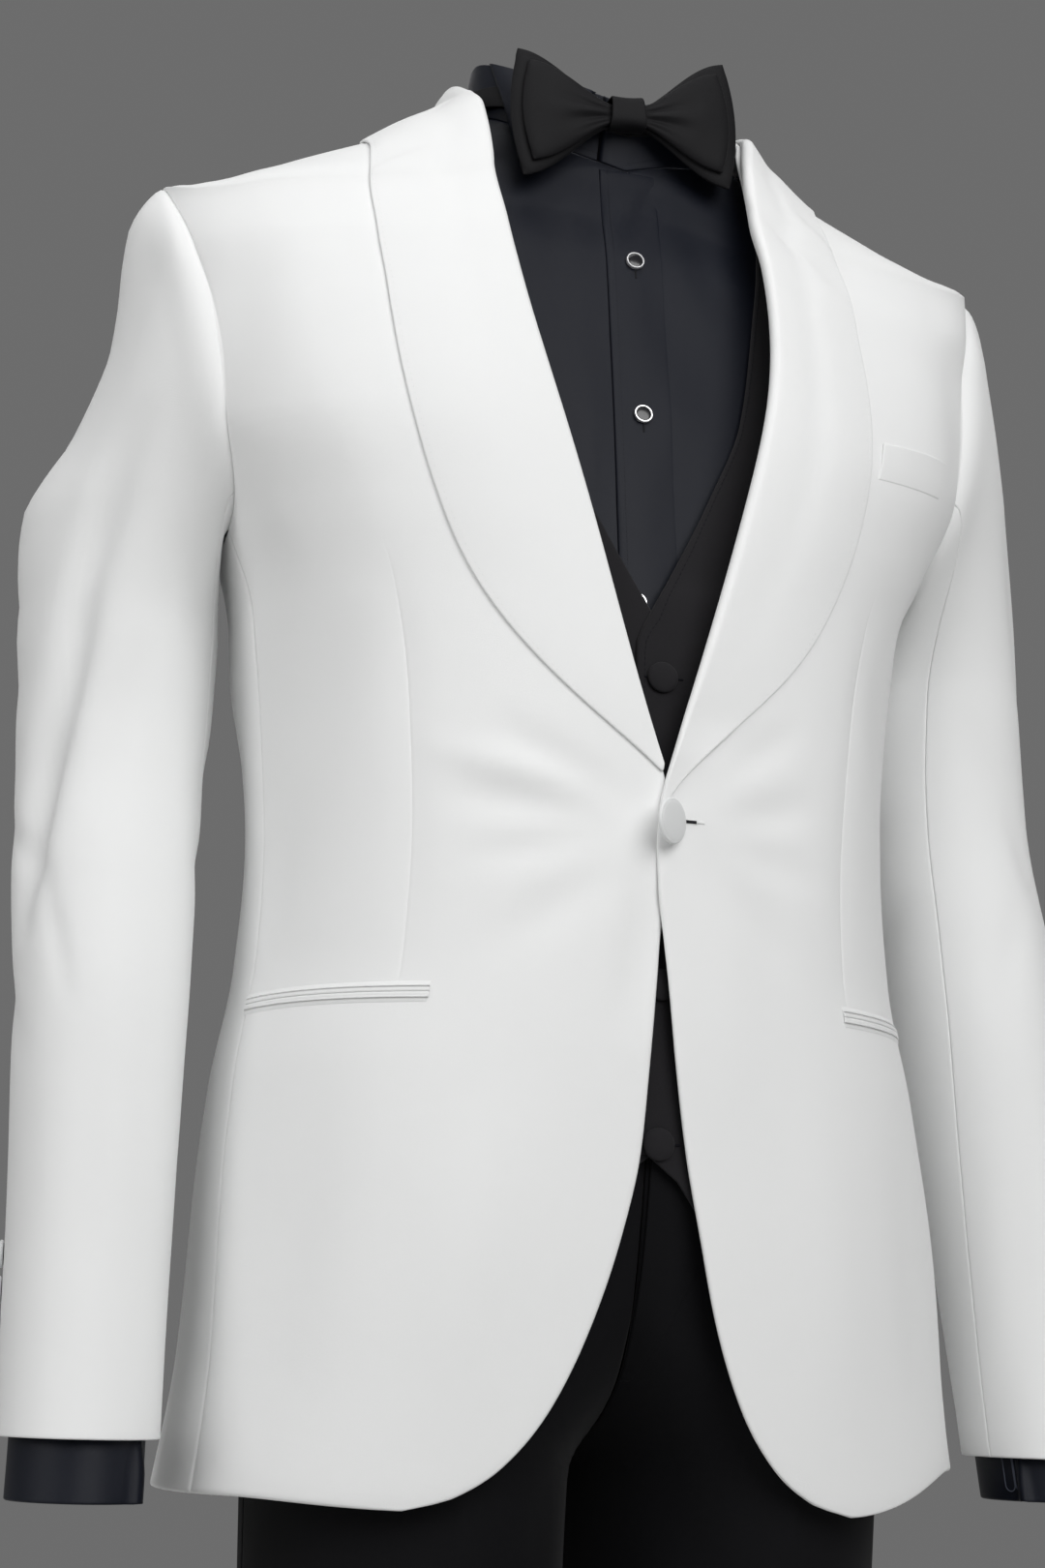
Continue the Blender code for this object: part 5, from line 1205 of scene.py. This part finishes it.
# Small folds of a sleeve, in drops and in degrees from its outer side towards its front.
SLEEVE_CREASES = {
    "right": table(
        CREASE_COLUMNS,
        (185, 52, 400, 46, 8, 2.6), (320, 54, 480, 0, 8, 3.4), (400, -30, 450, 40, 10, 2.4),
        (430, 30, 520, 40, 7, 1.8), (300, 96, 420, 60, 12, 2.0), (500, 60, 660, 40, 14, 1.4),
        (470, -60, 540, 10, 12, 1.6), (360, 150, 430, 220, 14, 2.6), (410, 130, 470, 230, 12, 2.2),
        (560, 150, 690, 170, 16, 1.6), (250, 110, 330, 140, 12, 2.0),
    ),
    "left": table(
        CREASE_COLUMNS,
        (330, 80, 440, 30, 10, 1.8), (410, 60, 500, 90, 10, 1.6), (300, 100, 400, 70, 12, 1.8),
        (520, 70, 690, 84, 14, 1.6), (440, -20, 520, 40, 12, 1.4), (360, 150, 440, 215, 14, 2.4),
        (420, 130, 480, 230, 12, 2.0), (580, 20, 700, 30, 16, 1.2), (250, 110, 330, 140, 12, 2.0),
    ),
}

covered_white = woven(
    "white_covered_button", (0.72, 0.73, 0.73), 0.55, thread=0.0005, relief=0.00004, shade=0.02, blotch=0.02,
    Sheen_Weight=0.15, Sheen_Roughness=0.5,
)


def covered_profile(radius, height):
    """A disc under drawn cloth: a flat back, a rolled rim, a shallow groove inside it and a low dome."""
    rim = ((0.82, 0), (0.93, 0.06), (0.99, 0.25), (1, 0.45), (0.985, 0.62), (0.95, 0.73), (0.91, 0.77))
    dome = [(0.88 * np.sin(a), 0.76 + 0.24 * np.cos(a)) for a in np.linspace(np.pi / 2, 0, 12)]
    return [(0, 0)] + [(radius * out, height * up) for out, up in (*rim, *dome)]


for side, sign in SIDES.items():
    mirror = np.array((sign, 1, 1))
    front_seam, hind_seam = SLEEVE_SEAMS[side]
    ways = {
        "topsleeve": hind_seam + close_steps(front_seam + 360 - hind_seam, JACKET_STEP),
        "undersleeve": front_seam + close_steps(hind_seam - front_seam, JACKET_STEP),
    }
    for way, turns in ways.items():
        grid = arm_grid(side, turns, SLEEVE_HEM, JACKET_STEP)
        heights = np.maximum(-grid[:, 0, 2], SLEEVE["drop"][0])
        middle = (sleeve_section(heights, 0.0) + sleeve_section(heights, 180.0)) / 2
        normals = grid_normals(grid, towards=grid - middle[:, None])
        around = (turns + 180) % 360 - 180
        around = np.where(around < -100, around + 360, around)
        grid = grid - normals * creased(-grid[..., 2], around[None], SLEEVE_CREASES[side])[..., None]
        cloth(f"jacket_{way}_cloth_{side}", f"jacket_{way}_{side}", "white_wool", grid * mirror,
              normals * mirror, SLEEVE_WALL, dip=SLEEVE_DIP)
    turn = float(SLEEVE_BUTTONS["turn"])
    profile = covered_profile(SLEEVE_BUTTONS["radius"], SLEEVE_BUTTONS["height"])
    for number, drop in enumerate(SLEEVE_BUTTONS["drops"], 1):
        place = sleeve_section(float(drop), turn)
        normal = normal_of(sleeve_section, float(drop), turn, step=1)
        normal *= np.sign(normal @ (place - sleeve_section(float(drop), turn + 180.0)))
        button = turned(f"sleeve_button_cloth_{side}_{number}", profile, (place + normal * 0.3) * mirror,
                        normal * mirror, covered_white)
        fixed(button, "white_covered_button", f"sleeve_button_{side}_{number}")

# ---------------------------------------------------------------------------------------------------------
# Shawl collar. One unbroken band a side, seamed at the centre back: it rises as a stand behind the neck,
# rolls over softly along the fold and lies on the chest to a rounded edge, held there by tiny pick stitches.

COLLAR_WALL = 1.6
COLLAR_REST = 1.8  # its face above the jacket's where it lies
COLLAR_LAPS = (360, 388)  # drops between which the left collar takes up the fronts' lap
# The shawl collar from the button up: drop of its fold, drop and X of its outer edge, and its lift. Its fold
# lies on the front's free edge.
COLLAR_FRONT = {
    "right": (
        (390, 392, 0, 0.2), (375, 382, 11, 0.4), (350, 366, 32.5, 0.8), (315, 336, 67, 1.2),
        (270, 300, 94, 1.6), (220, 255, 113.5, 2), (165, 205, 127.6, 2), (110, 150, 134.2, 2),
        (65, 100, 135.6, 2), (32, 66, 133.6, 2.5), (17, 49, 133, 3.2),
    ),
    "left": (
        (412, 415, -0.6, 0.1), (400, 405, 3, 0.2), (388, 396, 10, 0.3), (375, 386, 18.5, 0.4),
        (350, 366, 39, 0.8), (315, 336, 73, 1.2), (270, 300, 100.5, 1.6), (220, 255, 121.5, 2),
        (165, 205, 131.5, 2), (110, 150, 134, 2), (65, 102, 127.5, 2), (30, 66, 115.5, 2.2),
    ),
}
# From the shoulder to the centre back: drop and angle of its fold and of its edge, and its lift.
COLLAR_SHOULDER = {
    "right": ((4, 60, 38.4, 48, 4), (-14, 74, 22.5, 68, 6)),
    "left": ((4, 48, 30, 44.5, 1.5), (-14, 66, 19, 63, 2)),
}
COLLAR_NECK = table(
    "fold_drop fold_turn edge_drop edge_turn lift",
    (-21, 92, 17, 98, 7), (-26, 125, 13, 127, 7), (-29, 155, 12, 154, 7), (-30, 180, 12, 180, 7),
)
ROLL_RADIUS = {"right": (1.0, 3.2), "left": (1.0, 4.6)}  # of the fold, at the button and above
ROLL_GROWS = 7  # rows of the table over which it grows
ROLL_EASES, ROLL_EASED = (11, 13), 0.4  # rows over which it gets tighter, and the share that goes
# Beside the roll the collar settles on the chest: how deep, where across it, how wide, and the rows over
# which that begins.
HOLLOW = {"depth": 1.2, "place": 0.3, "width": 0.14, "rows": (4, 8)}
SETTLE = 2.2  # the power at which the roll's height goes down towards the edge
NECK_TURNS = (38, 60)  # between them an angle is found from X first, and then from X and Y
PICK_INSET = 6  # columns from the edge


def softened(values):
    """Values along a line with their small kinks averaged out, and the same ends."""
    kernel = np.exp(-((np.arange(-24, 25) / 8.0) ** 2) / 2)
    before, after = 2 * values[0] - values[24:0:-1], 2 * values[-1] - values[-2:-26:-1]
    return np.convolve(np.concatenate([before, values, after]), kernel / kernel.sum(), mode="valid")


def turn_of(rows, points):
    """The angle round a form nearest to each point."""
    half, front, side, back, square = oval_sizes(rows, -points[..., 2])
    ahead = side - points[..., 1]
    along = np.sign(ahead) * np.abs(ahead / np.where(ahead > 0, side - front, back - side)) ** (square / 2)
    across = np.sign(points[..., 0]) * np.abs(points[..., 0] / half) ** (square / 2)
    return np.degrees(np.arctan2(across, along))


def collar_lines(side, stations):
    """The collar's fold and edge, and its lift, at stations from the button to the centre back."""
    fold_drop, edge_drop, edge_x, lift = np.array(COLLAR_FRONT[side], float).T
    fold_turn = turn_at(JACKET, fold_drop, front_edge_x(side, fold_drop))
    front = fold_drop, fold_turn, edge_drop, turn_at(JACKET, edge_drop, edge_x), lift
    shoulder = np.array(COLLAR_SHOULDER[side], float).T
    columns = zip(COLLAR_NECK.items(), front, shoulder)
    lines = {name: np.concatenate([ahead, beside, neck]) for (name, neck), ahead, beside in columns}
    rows = np.arange(len(lines["lift"]), dtype=float)
    at = np.linspace(0, rows[-1], stations)
    found = {"lift": smooth(rows, lines["lift"], at)}
    for line in ("fold", "edge"):
        corners = on_form(JACKET, lines[f"{line}_drop"], lines[f"{line}_turn"])
        path = np.stack([softened(smooth(rows, corners[:, axis], at)) for axis in range(3)], -1)
        drops, turns = -path[:, 2], turn_of(JACKET, path)
        ahead = turn_at(JACKET, drops, path[:, 0])
        found[f"{line}_drop"] = drops
        found[f"{line}_turn"] = ahead + (turns - ahead) * ramp(turns, *NECK_TURNS)
    return found, at


COLLAR_STATIONS = 190
collar_across = np.concatenate([np.linspace(0, 0.94, 30), 1 - EDGE_STEPS[::-1] / 60])
roll_angles = np.linspace(0, np.pi, 14)[:-1]
for side, sign in SIDES.items():
    lines, at = collar_lines(side, COLLAR_STATIONS)
    small, full = ROLL_RADIUS[side]
    fuller = ramp(at, 0, ROLL_GROWS) * (1 - ROLL_EASED * ramp(at, *ROLL_EASES))
    radius = small + (full - small) * fuller
    drops = between(lines["fold_drop"], lines["edge_drop"], collar_across)
    turns = between(lines["fold_turn"], lines["edge_turn"], collar_across)
    form = jacket_surface(drops, sign * turns)
    normals = normal_of(jacket_surface, drops, sign * turns)
    crown = 4 * lines["lift"][:, None] * collar_across * (1 - collar_across)
    hollow = HOLLOW["depth"] * np.exp(-(((collar_across - HOLLOW["place"]) / HOLLOW["width"]) ** 2))
    crown = crown - hollow * ramp(at, *HOLLOW["rows"])[:, None]
    settle = (2 * radius[:, None] - COLLAR_REST) * (1 - collar_across) ** SETTLE
    lie = COLLAR_REST + settle + crown
    if side == "left":
        lie = lie + JACKET_LAP * (1 - ramp(turns, *LAP_TURNS)) * ramp(drops, *COLLAR_LAPS)
    lying = form + normals * lie[..., None]
    outwards = form[:, 3] - form[:, 0]
    outwards /= np.linalg.norm(outwards, axis=-1, keepdims=True)
    up = normals[:, 0]
    rolled = [
        form[:, 0] + up * ((lie[:, 0] / 2) * (1 - np.cos(a)))[:, None]
        - outwards * (radius * np.sin(a))[:, None]
        for a in roll_angles
    ]
    grid = np.concatenate([np.stack(rolled, 1), lying], 1)
    face = sheet_normals(grid)
    face *= np.sign((face[:, -10] * normals[:, -10]).sum())
    cloth(f"shawl_collar_cloth_{side}", f"shawl_collar_{side}", "white_wool", grid, face, COLLAR_WALL)
    inset = lying[8:-6, -PICK_INSET] + face[8:-6, -PICK_INSET] * 0.02
    stitches(f"collar_pick_stitches_{side}", "collar_pick", inset, white_thread, "white_wool")

turns = np.linspace(66, 294, 120)
at = np.where(turns > 180, 360 - turns, turns)
lines, _ = collar_lines("right", COLLAR_STATIONS)
half = COLLAR_STATIONS // 2
top = smooth(lines["fold_turn"][half:], lines["fold_drop"][half:], at) + 1
drops = np.minimum(top, -1.5) * close_shares(30, 4.0)[:, None]
panel(jacket, "under_collar_cloth", "under_collar", drops, np.tile(turns, (len(drops), 1)), 0.0)

# ---------------------------------------------------------------------------------------------------------
# Pockets. Each hip pocket is a slit between two narrow folded jettings sewn into the front; the breast pocket
# has one upright welt whose ends are sewn down.

HIP_POCKET = {"drop": 505, "share": 0.42, "width": 5.5}
JETTING, BREAST_WALL = 1.2, 1.6
JETTING_LIFT = (0.1, 1.1)  # at its seam, and how much more at its fold
BREAST_POCKET = {"inner": (31.5, 190, 214), "outer": (53.0, 188, 212)}  # turn, upper and lower drop
BREAST_LIFT = {"seam": 0.3, "top": 1.5, "gape": 1.2}

for side, sign in SIDES.items():
    drop, width = float(HIP_POCKET["drop"]), HIP_POCKET["width"]
    start = turn_at(JACKET, drop, column(FRONT_EDGE, side, drop))
    end = column(SIDE_SEAM, "front", drop)
    start = start + (end - start) * HIP_POCKET["share"]
    rows = close_steps(width, 0.8)
    turns = np.tile(start + (end - start) * close_shares(130, 4.0), (len(rows), 1))
    for place, top in (("upper", drop - width), ("lower", drop)):
        drops = level(top + rows, turns)
        from_outer = rows / width if place == "upper" else 1 - rows / width
        seam, fold = JETTING_LIFT
        lift = front_lift(side, drops, turns) + seam + fold * ramp(from_outer, 0, 0.75)[:, None]
        panel(jacket, f"hip_jetting_{place}_{side}", f"hip_welt_{place}_{side}", drops, sign * turns, lift,
              "folded", wall=JETTING, dip=0.0)

(turn_in, top_in, low_in), (turn_out, top_out, low_out) = BREAST_POCKET.values()
share = close_shares(70, 3.0)
rows = close_shares(24, 2.0)[:, None]
turns = np.tile(turn_in + (turn_out - turn_in) * share, (len(rows), 1))
tops, lows = top_in + (top_out - top_in) * share, low_in + (low_out - low_in) * share
drops = tops + (lows - tops) * rows
gape = BREAST_LIFT["gape"] * (1 - rows) ** 2 * np.sin(np.pi * share)
lift = front_lift("left", drops, turns) + BREAST_LIFT["seam"] + BREAST_LIFT["top"] * (1 - rows) + gape
panel(jacket, "breast_welt_cloth", "breast_welt", drops, turns, lift, "folded", wall=BREAST_WALL, dip=0.0)

# ---------------------------------------------------------------------------------------------------------
# Front button. A disc under drawn white cloth on a thread shank, pushed through a worked buttonhole: it
# stands tilted, with one rim near the cloth and the other one out.

JACKET_BUTTON = {"drop": 418.0, "x": 1.5, "radius": 11.5, "height": 3.5, "tilt": 38}
SHANK = ((0, -5.5), (1.8, -5.5), (1.5, -2.5), (1.8, 0.1), (0, 0.1))  # its profile below the button
HOLE_DROP = 416.5
HOLE_PARTS = {  # offset down, from and to an X, kind of thread
    "above": (-1.0, 5, 18, "front_hole"),
    "below": (1.0, 5, 18, "front_hole"),
    # The slit is drawn in near-black: painted shade of the opening between the threads.
    "slit": (0.0, 5, 17.5, "front_slit"),
    "bar": (0.0, 18, 22, "front_bar"),
}

turn = turn_at(JACKET, JACKET_BUTTON["drop"], JACKET_BUTTON["x"])
on_cloth, normal = raised(jacket_surface, JACKET_BUTTON["drop"], turn, 0.0)
tilt = np.radians(JACKET_BUTTON["tilt"])
away = np.array((-normal[1], normal[0], 0.0))
leaning = normal * np.cos(tilt) + away * np.sin(tilt)
base = on_cloth + normal * (JACKET_LAP + (JACKET_BUTTON["radius"] - 1.5) * np.sin(tilt)) + leaning * 0.3
profile = covered_profile(JACKET_BUTTON["radius"], JACKET_BUTTON["height"])
button = turned("jacket_button_cloth", profile, base, leaning, covered_white, sides=72)
fixed(button, "white_covered_button", "jacket_button")
fixed(turned("jacket_button_shank", SHANK, base, leaning, white_thread, sides=16), "white_wool")
for part, (offset, first, last, kind) in HOLE_PARTS.items():
    x = np.linspace(first, last, 20)
    turn = turn_at(JACKET, HOLE_DROP, x)
    path = jacket_surface(HOLE_DROP + offset + 0 * x, turn)
    path = path + normal * (front_lift("left", HOLE_DROP + 0 * x, turn) + 0.08)[:, None]
    # The slit's row takes the near-black of painted shade; the other rows are white thread.
    thread = slit_shade if part == "slit" else white_thread
    stitches(f"front_buttonhole_{part}", kind, path, thread, "white_wool")

# ---------------------------------------------------------------------------------------------------------
# Studio. A plain pale floor under the trouser hems, large soft lights from the left, from above and from
# near the camera's right, two weak ones to fill and a grey surround.

CAMERA = {"place": (-0.466, -1.554, -0.690), "yaw": -15.66, "pitch": 11.08, "roll": 1.53, "focal": 3155}
FRAME_HEIGHT = 1620  # in the unit of the focal length
SENSOR = 36.0
FLOOR_DROP = 1.5212
FLOOR_CORNERS = ((-9, -9), (9, -9), (9, 9), (-9, 9))
SURROUND = {"Color": (0.42, 0.42, 0.42, 1), "Strength": 0.36}
LIGHTS = {  # place, power in watts, size in metres
    "left": ((-3.0, -0.8, 0.6), 30, 2.0),
    "top": ((-0.2, -0.6, 2.6), 24, 2.2),
    "front": ((0.4, -2.0, 0.55), 33, 1.8),
    "key": ((-1.6, -2.6, 1.5), 8, 2.2),
    "back": ((0.6, 2.4, 1.4), 14, 2.0),
}
AIM = Vector((0, 0, -0.45))

floor_mesh = bpy.data.meshes.new("floor")
floor_mesh.from_pydata([(x, y, -FLOOR_DROP) for x, y in FLOOR_CORNERS], [], [(0, 1, 2, 3)])
floor_paper, *_ = new_material("floor_paper", (0.62, 0.62, 0.61), 0.9)
floor_mesh.materials.append(floor_paper)
in_scene("floor", floor_mesh)

for name, (place, power, size) in LIGHTS.items():
    light = bpy.data.lights.new(name, "AREA")
    light.shape = "DISK"
    light.energy = power
    light.size = size
    lamp = in_scene(name, light)
    lamp.location = place
    lamp.rotation_euler = (AIM - Vector(place)).to_track_quat("-Z", "Y").to_euler()

world = bpy.data.worlds.new("studio")
world.use_nodes = True
for socket, value in SURROUND.items():
    world.node_tree.nodes["Background"].inputs[socket].default_value = value
bpy.context.scene.world = world
bpy.context.scene.view_settings.view_transform = "Standard"

yaw, pitch, roll = (np.radians(CAMERA[name]) for name in ("yaw", "pitch", "roll"))
forward = np.array((-np.sin(yaw) * np.cos(pitch), np.cos(yaw) * np.cos(pitch), np.sin(pitch)))
right = np.array((np.cos(yaw), np.sin(yaw), 0.0))
up = np.cross(right, forward)
right, up = np.cos(roll) * right + np.sin(roll) * up, np.cos(roll) * up - np.sin(roll) * right
lens = bpy.data.cameras.new("camera")
lens.sensor_fit = "VERTICAL"
lens.sensor_height = lens.sensor_width = SENSOR
lens.lens = CAMERA["focal"] * SENSOR / FRAME_HEIGHT
camera = in_scene("camera", lens)
axes = zip(right, up, -forward, CAMERA["place"])
camera.matrix_world = Matrix([*axes, (0, 0, 0, 1)])
bpy.context.scene.camera = camera
